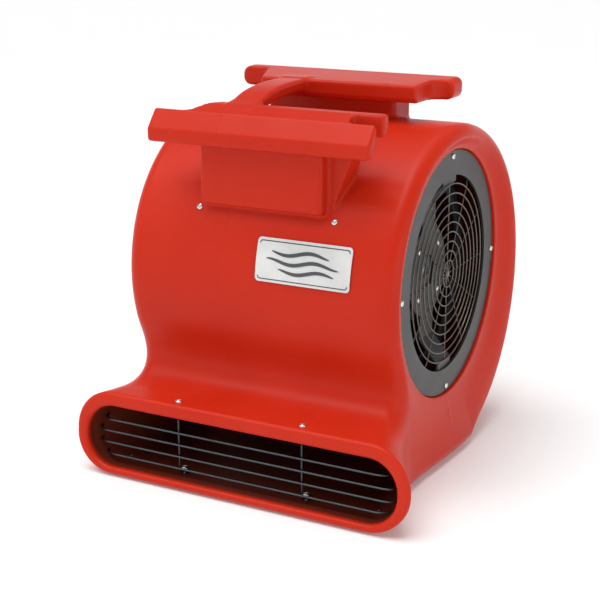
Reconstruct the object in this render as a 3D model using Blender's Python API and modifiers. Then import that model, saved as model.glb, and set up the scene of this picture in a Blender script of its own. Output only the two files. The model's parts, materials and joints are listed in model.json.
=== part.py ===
"""Floor-standing centrifugal air mover: a one-piece moulded scroll housing with a wide flat outlet,
a double-inlet blower wheel driven directly by a motor that hangs on a bracket in one intake.

Metres, +Z up. The wheel's axis runs along X, the outlet faces -Y, and the feet stand on Z = 0.
"""

import math

import bmesh
import bpy
from mathutils import Matrix, Vector

# ---------------------------------------------------------------- driving dimensions
AXIS_Y = 0.018  # wheel axis, along X
AXIS_Z = 0.262
BODY_HALF = 0.200  # half width of the scroll
RIM_ROUND = 0.018  # rounding of the scroll's side rims
WALL = 0.006
GAP = 0.0003  # clearance kept between touching pieces

SCROLL_FRONT = 0.200  # scroll radius from the neck over the front to the top
SCROLL_REAR = 0.259  # scroll radius where it meets the floor
SCROLL_GROWTH_START = math.radians(75)
NECK_ANGLE = math.radians(207)

FLOOR_Z = 0.003  # underside of the moulding; the feet stand proud by this much
MOUTH_Y = -0.254  # lower lip of the outlet
MOUTH_LEAN = 0.103  # how far the upper lip leans back for each metre of height
MOUTH_HALF = 0.244
MOUTH_HEIGHT = 0.112
MOUTH_INNER_HALF = 0.226
MOUTH_INNER_LOW = 0.0145
MOUTH_INNER_HIGH = 0.0945

RING_OUTER = 0.165
RING_INNER = 0.132
RING_FACE = 0.1806  # outer face of the intake ring
RING_THICK = 0.003
SCREW_CIRCLE = 0.158
INTAKE_HOLE = 0.150
BRACKET_THICK = 0.003
CAVITY_SIDE = 0.1685  # half width of the cavity beside the intakes

WHEEL_RADIUS = 0.140
WHEEL_INNER = 0.118
WHEEL_HALF = 0.146
BLADE_COUNT = 28
SHAFT_RADIUS = 0.0079
MOTOR_RADIUS = 0.068
MOTOR_START = 0.030
MOTOR_END = 0.1465

PEDESTAL_HALF = 0.086
FRONT_PEDESTAL = (-0.169, -0.088)
REAR_PEDESTAL_HALF = 0.095
REAR_PEDESTAL = (0.022, 0.076)
DECK_HALF = 0.156
DECK_MIDDLE_HALF = 0.118
HANDLE_LOW, HANDLE_HIGH = -0.062, -0.020  # the bar's span along X

GRILLE_Y = -0.234  # the outlet grille's wires
GRILLE_WIRES = 4
GRILLE_WIRE_LOW = 0.0235
GRILLE_WIRE_STEP = 0.0165
GRILLE_POST_X = 0.0905
GRILLE_SCREW_Y = GRILLE_Y + 0.005  # the screws through the nozzle's top
GRILLE_BOLT_Y = GRILLE_Y + 0.015  # the bolts through the duct's floor

LABEL_X = (-0.002, 0.130)
LABEL_Z = (0.279, 0.333)


# ---------------------------------------------------------------- scene and materials
for old in list(bpy.data.objects):
    bpy.data.objects.remove(old, do_unlink=True)

PARTS = bpy.data.collections.new("air_mover")
CUTTERS = bpy.data.collections.new("cutters")
bpy.context.scene.collection.children.link(PARTS)
bpy.context.scene.collection.children.link(CUTTERS)
CUTTERS.hide_render = True


def material(name, colour, roughness, metallic=0.0):
    made = bpy.data.materials.new(name)
    made.use_nodes = True
    shader = made.node_tree.nodes["Principled BSDF"]
    shader.inputs["Base Color"].default_value = (*colour, 1.0)
    shader.inputs["Roughness"].default_value = roughness
    shader.inputs["Metallic"].default_value = metallic
    return made


RED = material("red_polyethylene", (0.62, 0.032, 0.012), 0.45)
DARK = material("dark_grey_paint", (0.055, 0.058, 0.060), 0.50)
BLACK = material("black_plastic", (0.02, 0.02, 0.02), 0.55)
WIRE = material("grey_wire", (0.20, 0.18, 0.16), 0.45, 0.8)
ZINC = material("zinc_plated_steel", (0.72, 0.73, 0.75), 0.28, 1.0)
STEEL = material("bare_steel", (0.52, 0.52, 0.53), 0.35, 1.0)
MOTOR_PAINT = material("motor_paint", (0.09, 0.09, 0.10), 0.45, 0.3)
ALUMINIUM = material("cast_aluminium", (0.60, 0.61, 0.62), 0.5, 1.0)
RUBBER = material("black_rubber", (0.018, 0.018, 0.018), 0.85)
LABEL = material("label_film", (0.42, 0.43, 0.44), 0.35)
CREAM = material("insulating_plastic", (0.62, 0.60, 0.52), 0.5)


# ---------------------------------------------------------------- modelling helpers
def placed(name, mesh, paint, origin=(0, 0, 0)):
    """A part's object, its origin at the given point while its mesh stays where it was drawn."""
    mesh.transform(Matrix.Translation(-Vector(origin)))
    mesh.materials.clear()
    mesh.materials.append(paint)
    made = bpy.data.objects.new(name, mesh)
    made.location = origin
    PARTS.objects.link(made)
    mesh.shade_smooth()
    mesh.set_sharp_from_angle(angle=math.radians(35))
    return made


def mesh_of(bm):
    bmesh.ops.recalc_face_normals(bm, faces=bm.faces)
    mesh = bpy.data.meshes.new("shape")
    bm.to_mesh(mesh)
    bm.free()
    return mesh


def evaluated(made, weld=False):
    """The mesh of a helper object with its modifiers applied; the helper is removed."""
    bpy.context.view_layer.update()
    mesh = bpy.data.meshes.new_from_object(made.evaluated_get(bpy.context.evaluated_depsgraph_get()))
    mesh.transform(made.matrix_world)
    bpy.data.objects.remove(made, do_unlink=True)
    if weld:
        bm = bmesh.new()
        bm.from_mesh(mesh)
        bmesh.ops.remove_doubles(bm, verts=bm.verts, dist=0.00002)
        bm.to_mesh(mesh)
        bm.free()
    return mesh


def helper(mesh):
    made = bpy.data.objects.new("helper", mesh)
    CUTTERS.objects.link(made)
    made.display_type = "WIRE"
    made.hide_render = True
    return made


def joined(first, others, operation="UNION"):
    """One mesh from a first mesh and others, joined to it or cut from it."""
    base = helper(first)
    tools = [helper(mesh) for mesh in others]
    for tool in tools:
        boolean = base.modifiers.new("join", "BOOLEAN")
        boolean.operation = operation
        boolean.solver = "EXACT"
        boolean.object = tool
    mesh = evaluated(base)
    for tool in tools:
        bpy.data.objects.remove(tool, do_unlink=True)
    return mesh


def box(low, high, bevel=0.0):
    bm = bmesh.new()
    size = Vector(high) - Vector(low)
    middle = (Vector(high) + Vector(low)) / 2
    bmesh.ops.create_cube(bm, size=1.0, matrix=Matrix.Translation(middle) @ Matrix.Diagonal((*size, 1)))
    if bevel:
        bmesh.ops.bevel(bm, geom=bm.edges[:], offset=bevel, segments=2, profile=0.5, affect="EDGES")
    return mesh_of(bm)


def cylinder(start, end, radius, sides=32, end_radius=None):
    """A solid round bar, or a cone, between two points."""
    start, end = Vector(start), Vector(end)
    along = end - start
    turn = along.to_track_quat("Z", "Y").to_matrix().to_4x4()
    bm = bmesh.new()
    bmesh.ops.create_cone(
        bm, cap_ends=True, segments=sides, radius1=radius,
        radius2=radius if end_radius is None else end_radius, depth=along.length,
        matrix=Matrix.Translation((start + end) / 2) @ turn,
    )
    return mesh_of(bm)


def turned(profile, place, direction, sides=32):
    """A solid of revolution: (radius, height) points down the outer side, heights along direction."""
    mesh = bpy.data.meshes.new("profile")
    mesh.from_pydata([(r, 0, h) for r, h in profile], [(i, i + 1) for i in range(len(profile) - 1)], [])
    made = helper(mesh)
    screw = made.modifiers.new("turn", "SCREW")
    screw.steps = screw.render_steps = sides
    screw.use_merge_vertices = True
    screw.merge_threshold = 0.00001
    turn = Vector(direction).to_track_quat("Z", "Y").to_matrix().to_4x4()
    made.matrix_world = Matrix.Translation(place) @ turn
    return evaluated(made)


def turned_ring(profile, place, direction, sides=32):
    return turned([*profile, profile[0]], place, direction, sides)


def prism(outline, low, high, bevel=0.0):
    """A flat (y, z) outline extruded along X, with rounded rims where bevel is given."""
    curve = bpy.data.curves.new("outline", "CURVE")
    curve.dimensions = "2D"
    curve.fill_mode = "BOTH"
    curve.extrude = (high - low) / 2 - bevel
    curve.bevel_depth = bevel
    curve.bevel_resolution = 2
    curve.offset = -bevel
    spline = curve.splines.new("POLY")
    spline.points.add(len(outline) - 1)
    for point, (y, z) in zip(spline.points, outline):
        point.co = (y, z, 0, 1)
    spline.use_cyclic_u = True
    made = bpy.data.objects.new("outline", curve)
    CUTTERS.objects.link(made)
    # the curve's own x, y and z run along the world's Y, Z and X
    made.matrix_world = Matrix(((0, 0, 1, (low + high) / 2), (1, 0, 0, 0), (0, 1, 0, 0), (0, 0, 0, 1)))
    return evaluated(made, weld=True)


def wire(points, radius, resolution=1, cyclic=False):
    curve = bpy.data.curves.new("wire", "CURVE")
    curve.dimensions = "3D"
    curve.bevel_depth = radius
    curve.bevel_resolution = resolution
    curve.use_fill_caps = True
    spline = curve.splines.new("POLY")
    spline.points.add(len(points) - 1)
    for point, place in zip(spline.points, points):
        point.co = (*place, 1)
    spline.use_cyclic_u = cyclic
    made = bpy.data.objects.new("wire", curve)
    CUTTERS.objects.link(made)
    return evaluated(made, weld=True)


def loft(sections):
    """A closed skin through sections with equal numbers of points, capped at both ends."""
    bm = bmesh.new()
    rings = [[bm.verts.new(point) for point in section] for section in sections]
    count = len(rings[0])
    for near, far in zip(rings, rings[1:]):
        for i in range(count):
            bm.faces.new((near[i], near[(i + 1) % count], far[(i + 1) % count], far[i]))
    bm.faces.new(rings[0])
    bm.faces.new(rings[-1])
    return mesh_of(bm)


def polar(radius, angle, x=0.0):
    """A point at a radius and angle around the wheel's axis; angle 0 points to the rear (+Y)."""
    return Vector((x, AXIS_Y + radius * math.cos(angle), AXIS_Z + radius * math.sin(angle)))


def arc(start, end, steps):
    return [start + (end - start) * i / steps for i in range(steps + 1)]


def smooth_step(value):
    value = min(max(value, 0.0), 1.0)
    return value * value * (3 - 2 * value)


# ---------------------------------------------------------------- housing
def scroll_radius(angle):
    """Constant over the front and top, then growing down the rear to the floor."""
    share = (SCROLL_GROWTH_START - angle) / (SCROLL_GROWTH_START + math.radians(90))
    share = min(max(share, 0.0), 1.0)
    grown = share * 0.35 + 0.65 * smooth_step(share * 1.12)
    return SCROLL_FRONT + (SCROLL_REAR - SCROLL_FRONT) * grown


def scroll_outline(inset=0.0):
    """(y, z) points from the floor below the axis, round the rear, over the top and to the neck."""
    points = []
    for angle in arc(-math.radians(90), NECK_ANGLE, 50):
        place = polar(scroll_radius(angle) - inset, angle)
        points.append((place.y, place.z))
    return points


def rounded_section(y, half, low, high, corner, lean=0.0, corner_steps=5):
    """A rounded rectangle across X at one y, its top leaning back."""
    corner = min(corner, (high - low) / 2 - 0.0005)
    points = []
    for across, up, start in ((1, 1, 0), (-1, 1, 90), (-1, -1, 180), (1, -1, 270)):
        for step in range(corner_steps + 1):
            angle = math.radians(start + 90 * step / corner_steps)
            x = across * (half - corner) + corner * math.cos(angle)
            z = (high - corner if up > 0 else low + corner) + corner * math.sin(angle)
            points.append((x, y + lean * (z - low), z))
    return points


NOZZLE_TOP = FLOOR_Z + MOUTH_HEIGHT


def nozzle_outer():
    """The flared duct from inside the scroll out to the mouth."""
    sections = []
    # y, share of the flare, height of the top, corner radius
    stations = (
        (-0.090, 0.00, 0.200, 0.022), (-0.128, 0.03, 0.196, 0.024), (-0.148, 0.08, 0.172, 0.027),
        (-0.158, 0.12, 0.147, 0.031), (-0.172, 0.20, 0.130, 0.035), (-0.190, 0.33, 0.120, 0.041),
        (-0.212, 0.54, NOZZLE_TOP, 0.048), (-0.232, 0.80, NOZZLE_TOP - 0.001, 0.054),
        (-0.243, 0.96, NOZZLE_TOP, 0.056), (-0.250, 1.00, NOZZLE_TOP, 0.056),
        (MOUTH_Y, 0.985, NOZZLE_TOP, 0.055),
    )
    for y, flare, top, corner in stations:
        half = BODY_HALF - 0.002 + (MOUTH_HALF - BODY_HALF + 0.002) * flare
        lean = MOUTH_LEAN * smooth_step((-0.17 - y) / 0.06)
        sections.append(rounded_section(y, half, FLOOR_Z, top, corner, lean))
    return loft(sections)


def nozzle_inner():
    """The air duct: it starts inside the scroll and runs out past the mouth."""
    sections = []
    stations = (
        (-0.050, 0.00, 0.012, 0.130, 0.020), (-0.120, 0.05, 0.012, 0.126, 0.024),
        (-0.160, 0.22, 0.012, 0.110, 0.030), (-0.200, 0.60, 0.012, 0.098, 0.036),
        (-0.235, 0.94, 0.0135, MOUTH_INNER_HIGH, 0.0395),
        (-0.280, 1.00, MOUTH_INNER_LOW, MOUTH_INNER_HIGH, 0.0395),
    )
    for y, flare, low, high, corner in stations:
        half = CAVITY_SIDE + 0.018 + (MOUTH_INNER_HALF - CAVITY_SIDE - 0.018) * flare
        sections.append(rounded_section(y, half, low, high, corner))
    return loft(sections)


def deck_solid(outline, plan):
    """A deck: its side outline extruded along X, trimmed by cutters that shape its plan."""
    return joined(prism(outline, -DECK_HALF, DECK_HALF), plan, "DIFFERENCE")


FRONT_DECK = (  # (y, z) outline, seen from the side
    (-0.1875, 0.444), (-0.1880, 0.461), (-0.1690, 0.484), (-0.1470, 0.4925), (-0.1300, 0.4930),
    (-0.1300, 0.4720), (-0.1650, 0.4560), (-0.1760, 0.4440),
)
REAR_DECK = (
    (-0.008, 0.5105), (0.086, 0.5145), (0.090, 0.5100), (0.090, 0.4930), (0.084, 0.4870), (0.0, 0.4870),
    (-0.006, 0.4930),
)
HANDLE = (  # the bar's centre line: (y, z)
    (-0.150, 0.482), (-0.133, 0.4880), (-0.110, 0.4955), (-0.085, 0.5000), (-0.055, 0.5025), (-0.020, 0.5030),
    (0.010, 0.5025),
)
HANDLE_THICK = 0.016


def handle_bar():
    """A flat bar along a gentle arch, from inside the front deck to inside the rear deck."""
    upper, lower = [], []
    for i, (y, z) in enumerate(HANDLE):
        before = Vector(HANDLE[max(i - 1, 0)])
        after = Vector(HANDLE[min(i + 1, len(HANDLE) - 1)])
        along = (after - before).normalized()
        across = Vector((-along.y, along.x)) * HANDLE_THICK / 2
        upper.append((y + across.x, z + across.y))
        lower.append((y - across.x, z - across.y))
    return prism(upper + lower[::-1], HANDLE_LOW, HANDLE_HIGH, bevel=0.004)


def horn_notches(y_low, y_high):
    """Cutters that leave a horn at each end of a deck."""
    half = 0.030
    middles = [side * (DECK_MIDDLE_HALF + half) for side in (-1, 1)]
    return [box((x - half, y_low, 0.42), (x + half, y_high, 0.56)) for x in middles]


def housing():
    outline = scroll_outline()
    outline += [(-0.150, 0.110), (-0.135, FLOOR_Z)]
    outer = prism(outline, -BODY_HALF, BODY_HALF, bevel=RIM_ROUND)
    front = box((-PEDESTAL_HALF, FRONT_PEDESTAL[0], 0.350), (PEDESTAL_HALF, FRONT_PEDESTAL[1], 0.476))
    rear = box((-REAR_PEDESTAL_HALF, REAR_PEDESTAL[0], 0.380), (REAR_PEDESTAL_HALF, REAR_PEDESTAL[1], 0.498))
    decks = [
        deck_solid(FRONT_DECK, horn_notches(-0.166, -0.10)),
        deck_solid(REAR_DECK, horn_notches(-0.05, 0.048)),
    ]
    outer = joined(outer, [nozzle_outer(), front, rear, *decks, handle_bar()])

    # the air path: a wide scroll, narrowed beside the intakes, and the duct
    inner_outline = scroll_outline(WALL)
    inner_outline += [(-0.132, 0.120), (-0.125, 0.0125), (AXIS_Y, 0.0125)]
    cavity = prism(inner_outline, -BODY_HALF + WALL, BODY_HALF - WALL, bevel=RIM_ROUND - WALL)
    cheeks = [
        cylinder(polar(0, 0, side * CAVITY_SIDE), polar(0, 0, side * 0.21), RING_OUTER + 0.009, 64)
        for side in (-1, 1)
    ]
    cavity = joined(cavity, cheeks, "DIFFERENCE")

    cuts = [cavity, nozzle_inner()]
    cuts.append(cylinder(polar(0, 0, -0.25), polar(0, 0, 0.25), INTAKE_HOLE, 64))
    for side in (-1, 1):
        floor = side * (RING_FACE - RING_THICK - GAP)
        cuts.append(cylinder(polar(0, 0, floor), polar(0, 0, side * 0.23), RING_OUTER + 0.0015, 64))
        cuts.append(cylinder(polar(0, 0, side * (RING_FACE + 0.004)), polar(0, 0, side * (BODY_HALF + 0.001)),
                             RING_OUTER + 0.0015, 64, RING_OUTER + 0.014))
    # seats for the motor bracket's two ends, under the right ring
    seat = RING_FACE - RING_THICK - 2 * GAP - BRACKET_THICK
    for low in (RING_OUTER - 0.025, -RING_OUTER - 0.0005):
        start = (seat - GAP, AXIS_Y - 0.0235, AXIS_Z + low)
        cuts.append(box(start, (0.19, AXIS_Y + 0.0235, AXIS_Z + low + 0.0255)))
    # the hollow front pedestal, open to the scroll, and the switch pocket, open to the rear
    cuts.append(box((-0.070, FRONT_PEDESTAL[0] + 0.006, 0.33), (0.070, FRONT_PEDESTAL[1] - 0.006, 0.462)))
    cuts.append(box((-0.070, REAR_PEDESTAL[0] + 0.012, 0.4575), (0.070, REAR_PEDESTAL[1] + 0.01, 0.4835)))
    # screw holes: ring screws, outlet grille fixings, tray screws, panel screws and feet
    return joined(outer, cuts + screw_holes(), "DIFFERENCE")


# ---------------------------------------------------------------- fasteners
def pan_screw(head, direction, head_radius, head_height, shank_radius, length, sides=10):
    """A pan-head screw: head is the point under its head, direction points out of the head."""
    profile = [
        (0.0, head_height), (head_radius * 0.6, head_height * 0.9), (head_radius, head_height * 0.4),
        (head_radius, 0.0), (shank_radius, 0.0), (shank_radius, -length), (0.0, -length),
    ]
    return turned(profile, head, direction, sides)


def screw_hole(head, direction, shank_radius, length, slack=0.0004):
    direction = Vector(direction).normalized()
    return cylinder(Vector(head) + direction * 0.004, Vector(head) - direction * (length + 0.001),
                    shank_radius + slack, 12)


RING_SCREW = dict(shank_radius=0.0020, length=0.0130)
GRILLE_SCREW = dict(shank_radius=0.0020, length=0.0150)
TRAY_SCREW = dict(shank_radius=0.0018, length=0.0110)
PANEL_SCREW = dict(shank_radius=0.0014, length=0.0080)

RING_SCREW_PLACES = []
for side_name, side in (("right", 1), ("left", -1)):
    for index, degrees in enumerate((90, 0, 270, 180), start=1):
        head = polar(SCREW_CIRCLE, math.radians(degrees), side * (RING_FACE + GAP))
        RING_SCREW_PLACES.append((f"intake_screw_{side_name}_{index}", head, Vector((side, 0, 0))))

TRAY_SCREW_PLACES = []
for index, (x, degrees) in enumerate(((-0.097, 151), (0.097, 151), (-0.097, 116), (0.097, 116)), start=1):
    outward = polar(1, math.radians(degrees)) - polar(0, 0)
    TRAY_SCREW_PLACES.append(
        (f"tray_screw_{index}", polar(SCROLL_FRONT + GAP, math.radians(degrees), x), outward))

GRILLE_TOP_PLACES = [
    (
        f"outlet_top_screw_{name}",
        Vector((side * GRILLE_POST_X, GRILLE_SCREW_Y, NOZZLE_TOP + GAP)),
        Vector((0, 0, 1)),
    )
    for name, side in (("left", -1), ("right", 1))
]
PANEL_BACK = REAR_PEDESTAL[1] + 0.0025
PANEL_SCREW_PLACES = [
    (f"panel_screw_{index}", Vector((x, PANEL_BACK + GAP * 2, 0.4705)), Vector((0, 1, 0)))
    for index, x in enumerate((-0.076, 0.076), start=1)
]
FOOT_PLACES = {
    "front_left": (-0.185, -0.205), "front_right": (0.185, -0.205), "rear_left": (-0.120, 0.050),
    "rear_right": (0.120, 0.050),
}
FOOT_RADIUS = 0.014


def screw_holes():
    holes = []
    for _, head, direction in RING_SCREW_PLACES:
        holes.append(screw_hole(head, direction, **RING_SCREW))
    for _, head, direction in TRAY_SCREW_PLACES:
        holes.append(screw_hole(head, direction, **TRAY_SCREW))
    for _, head, direction in GRILLE_TOP_PLACES:
        holes.append(cylinder(head + direction * 0.004, head - direction * 0.03, 0.0024, 12))
    for _, head, direction in PANEL_SCREW_PLACES:
        holes.append(screw_hole(head, direction, **PANEL_SCREW))
    for side in (-1, 1):
        place = (side * GRILLE_POST_X, GRILLE_BOLT_Y)
        holes.append(cylinder((*place, 0.006), (*place, 0.022), 0.0024, 12))
    for x, y in FOOT_PLACES.values():
        holes.append(cylinder((x, y, -0.01), (x, y, foot_top(y) + GAP), FOOT_RADIUS + GAP, 24))
        holes.append(cylinder((x, y, 0.0), (x, y, foot_top(y) + 0.010), 0.0021, 12))
    return holes


def foot_top(y):
    """Top of a foot: it is sunk into the underside, deeper at the rear, where the scroll rises."""
    return 0.0075 if y < 0 else 0.0140


def screws():
    for name, head, direction in RING_SCREW_PLACES:
        placed(name, pan_screw(head, direction, 0.0042, 0.0026, **RING_SCREW), ZINC)
    for name, head, direction in TRAY_SCREW_PLACES:
        placed(name, pan_screw(head, direction, 0.0042, 0.0026, **TRAY_SCREW), ZINC)
    for name, head, direction in GRILLE_TOP_PLACES:
        placed(name, pan_screw(head, direction, 0.0044, 0.0028, **GRILLE_SCREW), ZINC)
    for name, head, direction in PANEL_SCREW_PLACES:
        placed(name, pan_screw(head, direction, 0.0028, 0.0018, **PANEL_SCREW), ZINC)


# ---------------------------------------------------------------- intakes
GUARD_WIRE = 0.0011
GUARD_RINGS = 4
GUARD_SPOKES = 8
GUARD_X = RING_FACE - RING_THICK / 2
GUARD_RADIUS = RING_INNER - GUARD_WIRE - GAP


def intake_ring(name, side):
    """A flat annular plate round the intake, with a clearance hole for each screw."""
    face, back = side * RING_FACE, side * (RING_FACE - RING_THICK)
    plate = cylinder((face, AXIS_Y, AXIS_Z), (back, AXIS_Y, AXIS_Z), RING_OUTER, 72)
    cuts = [cylinder((side * 0.20, AXIS_Y, AXIS_Z), (side * 0.15, AXIS_Y, AXIS_Z), RING_INNER, 72)]
    for screw_name, head, direction in RING_SCREW_PLACES:
        if head.x * side > 0:
            cuts.append(cylinder(head + direction * 0.002, head - direction * 0.008, 0.0024, 12))
    placed(name, joined(plate, cuts, "DIFFERENCE"), DARK)


def intake_guard(name, side):
    """A round wire guard: rings and spokes on a small centre disc, welded into the ring's opening."""
    x = side * GUARD_X
    disc = cylinder((x - 0.0012, AXIS_Y, AXIS_Z), (x + 0.0012, AXIS_Y, AXIS_Z), 0.010, 24)
    wires = []
    for index in range(1, GUARD_RINGS + 1):
        radius = 0.010 + (GUARD_RADIUS - 0.010) * index / GUARD_RINGS
        sides = 14 + 5 * index
        points = [polar(radius, 2 * math.pi * i / sides, x) for i in range(sides)]
        wires.append(wire(points, GUARD_WIRE, 0, cyclic=True))
    for index in range(GUARD_SPOKES):
        angle = 2 * math.pi * (index + 0.5) / GUARD_SPOKES
        wires.append(wire([polar(0.006, angle, x), polar(GUARD_RADIUS, angle, x)], GUARD_WIRE * 0.9, 0))
    placed(name, joined(disc, wires), WIRE)


# ---------------------------------------------------------------- outlet grille
def outlet_grille():
    """Four long wires whose ends bend back, clamped to two upright straps."""
    radius = 0.0018
    wires = []
    for index in range(GRILLE_WIRES):
        z = GRILLE_WIRE_LOW + GRILLE_WIRE_STEP * index
        reach = 0.200 if index in (0, GRILLE_WIRES - 1) else 0.209
        wires.append(wire(
            [(-reach, GRILLE_Y + 0.016, z), (-reach + 0.010, GRILLE_Y, z), (reach - 0.010, GRILLE_Y, z),
             (reach, GRILLE_Y + 0.016, z)], radius, 1))
    posts = []
    for side in (-1, 1):
        x = side * GRILLE_POST_X
        post = box((x - 0.004, GRILLE_Y + 0.0008, 0.0155), (x + 0.004, GRILLE_Y + 0.0036, 0.0930))
        foot = box((x - 0.006, GRILLE_Y + 0.0008, 0.0155), (x + 0.006, GRILLE_Y + 0.022, 0.0175))
        head = box((x - 0.006, GRILLE_Y + 0.0008, 0.0910), (x + 0.006, GRILLE_Y + 0.0120, 0.0930))
        posts += [post, foot, head]
    mesh = joined(wires[0], posts + wires[1:])
    holes = []
    for x in (-GRILLE_POST_X, GRILLE_POST_X):
        holes.append(cylinder((x, GRILLE_SCREW_Y, 0.08), (x, GRILLE_SCREW_Y, 0.10), 0.0024, 12))
        holes.append(cylinder((x, GRILLE_BOLT_Y, 0.01), (x, GRILLE_BOLT_Y, 0.03), 0.0024, 12))
    placed("outlet_grille", joined(mesh, holes, "DIFFERENCE"), WIRE)


def grille_bolts():
    for name, side in (("left", -1), ("right", 1)):
        head = Vector((side * GRILLE_POST_X, GRILLE_BOLT_Y, 0.0175 + GAP))
        placed(f"outlet_bottom_bolt_{name}", pan_screw(head, (0, 0, 1), 0.0050, 0.0040, 0.0020, 0.0085), ZINC)


# ---------------------------------------------------------------- wheel and drive
def blower_wheel():
    """Double-inlet wheel: forward-curved blades between two end rings, on a centre disc."""
    disc = cylinder((-0.0015, AXIS_Y, AXIS_Z), (0.0015, AXIS_Y, AXIS_Z), WHEEL_RADIUS - 0.001, 60)
    pieces = []
    for side in (-1, 1):
        low, high = side * WHEEL_HALF, side * (WHEEL_HALF - 0.004)
        outside, inside = low + side * 0.01, high - side * 0.01
        rim = cylinder((low, AXIS_Y, AXIS_Z), (high, AXIS_Y, AXIS_Z), WHEEL_RADIUS, 60)
        bore = cylinder((outside, AXIS_Y, AXIS_Z), (inside, AXIS_Y, AXIS_Z), WHEEL_INNER, 60)
        pieces.append(joined(rim, [bore], "DIFFERENCE"))
    steps = 2
    for index in range(BLADE_COUNT):
        start = 2 * math.pi * index / BLADE_COUNT
        front, back = [], []
        for step in range(steps + 1):
            share = step / steps
            radius = WHEEL_INNER + 0.0006 + (WHEEL_RADIUS - WHEEL_INNER - 0.0014) * share
            angle = start - 0.10 * share * share
            front.append(polar(radius, angle))
            back.append(polar(radius, angle + 0.0016 / radius))
        outline = [(point.y, point.z) for point in front + back[::-1]]
        pieces.append(prism(outline, -WHEEL_HALF + 0.001, WHEEL_HALF - 0.001))
    bore = cylinder((-0.01, AXIS_Y, AXIS_Z), (0.01, AXIS_Y, AXIS_Z), 0.0165, 32)
    placed("blower_wheel", joined(joined(disc, pieces), [bore], "DIFFERENCE"), BLACK, polar(0, 0))


HUB_SCREW_X = 0.012


def wheel_hub():
    """A flanged hub riveted into the disc, with a bore for the shaft and a set-screw hole."""
    bore = SHAFT_RADIUS + GAP
    profile = [
        (bore, 0.018), (0.0150, 0.018), (0.0150, 0.0022),
        (0.0160, 0.0018), (0.0160, -0.006), (bore, -0.006),
    ]
    hub = turned_ring(profile, polar(0, 0), (1, 0, 0), 32)

    def upward(radius):
        return polar(radius, math.pi / 2, HUB_SCREW_X)

    hole = cylinder(upward(0.004), upward(0.02), 0.0028, 12)
    placed("wheel_hub", joined(hub, [hole], "DIFFERENCE"), ALUMINIUM, polar(0, 0))
    screw = cylinder(upward(bore), upward(0.0145), 0.0025, 12)
    socket = cylinder(upward(0.0125), upward(0.0160), 0.0012, 6)
    placed("hub_set_screw", joined(screw, [socket], "DIFFERENCE"), STEEL, polar(0, 0))


BEARING_OUTER = 0.0160
BEARING_WIDTH = 0.010
BELL_THICK = 0.016
BEARING_PLACES = {"inner_bearing": MOTOR_START + 0.004, "outer_bearing": MOTOR_END - 0.004 - BEARING_WIDTH}


def motor():
    """Stator can between two end bells, a rotor on the shaft between two ball bearings."""
    first, last = MOTOR_START + BELL_THICK, MOTOR_END - BELL_THICK
    can = turned_ring(
        [(0.046, last - GAP), (MOTOR_RADIUS, last - GAP), (MOTOR_RADIUS, first + GAP), (0.046, first + GAP)],
        (0, AXIS_Y, AXIS_Z), (1, 0, 0), 36)
    placed("motor_stator", can, MOTOR_PAINT, polar(0, 0))
    rotor = turned_ring(
        [(SHAFT_RADIUS + GAP, last - 0.006), (0.0440, last - 0.006), (0.0440, first + 0.006),
         (SHAFT_RADIUS + GAP, first + 0.006)],
        (0, AXIS_Y, AXIS_Z), (1, 0, 0), 36)
    placed("motor_rotor", rotor, STEEL, polar(0, 0))
    shaft = turned(
        [(0, MOTOR_END - 0.003), (SHAFT_RADIUS - 0.001, MOTOR_END - 0.003), (SHAFT_RADIUS, MOTOR_END - 0.004),
         (SHAFT_RADIUS, -0.011), (SHAFT_RADIUS - 0.001, -0.012), (0, -0.012)],
        (0, AXIS_Y, AXIS_Z), (1, 0, 0), 24)
    placed("motor_shaft", shaft, STEEL, polar(0, 0))
    for name, low in BEARING_PLACES.items():
        race = turned_ring(
            [
                (SHAFT_RADIUS + GAP, low + BEARING_WIDTH), (BEARING_OUTER, low + BEARING_WIDTH),
                (BEARING_OUTER, low), (SHAFT_RADIUS + GAP, low),
            ],
            (0, AXIS_Y, AXIS_Z), (1, 0, 0), 32)
        placed(name, race, STEEL, polar(0, 0))
    end_bell("motor_inner_bell", MOTOR_START, 1)
    end_bell("motor_outer_bell", MOTOR_END, -1)


MOTOR_BOLT_CIRCLE = 0.046


def end_bell(name, face, inward):
    """A cast end bell: bearing seat in the middle, a shaft hole and bolt holes."""
    def x(depth):
        return face + inward * depth
    seat = 0.004 + BEARING_WIDTH + GAP
    profile = [
        (SHAFT_RADIUS + 0.001, x(0)), (0.050, x(0)),
        (MOTOR_RADIUS - 0.004, x(0.006)), (MOTOR_RADIUS, x(0.010)),
        (MOTOR_RADIUS, x(BELL_THICK)), (BEARING_OUTER + 0.006, x(BELL_THICK)), (BEARING_OUTER + GAP, x(seat)),
        (BEARING_OUTER + GAP, x(0.004 - GAP)), (SHAFT_RADIUS + 0.001, x(0.004 - GAP)),
    ]
    bell = turned_ring(profile if inward < 0 else profile[::-1], (0, AXIS_Y, AXIS_Z), (1, 0, 0), 36)
    if inward < 0:
        holes = [cylinder(polar(MOTOR_BOLT_CIRCLE, math.radians(45 + 90 * i), face - 0.011),
                          polar(MOTOR_BOLT_CIRCLE, math.radians(45 + 90 * i), face + 0.004), 0.0026, 12)
                 for i in range(4)]
        bell = joined(bell, holes, "DIFFERENCE")
    placed(name, bell, MOTOR_PAINT, polar(0, 0))


BRACKET_HALF = 0.022
BRACKET_BACK = RING_FACE - RING_THICK - GAP - BRACKET_THICK


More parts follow.
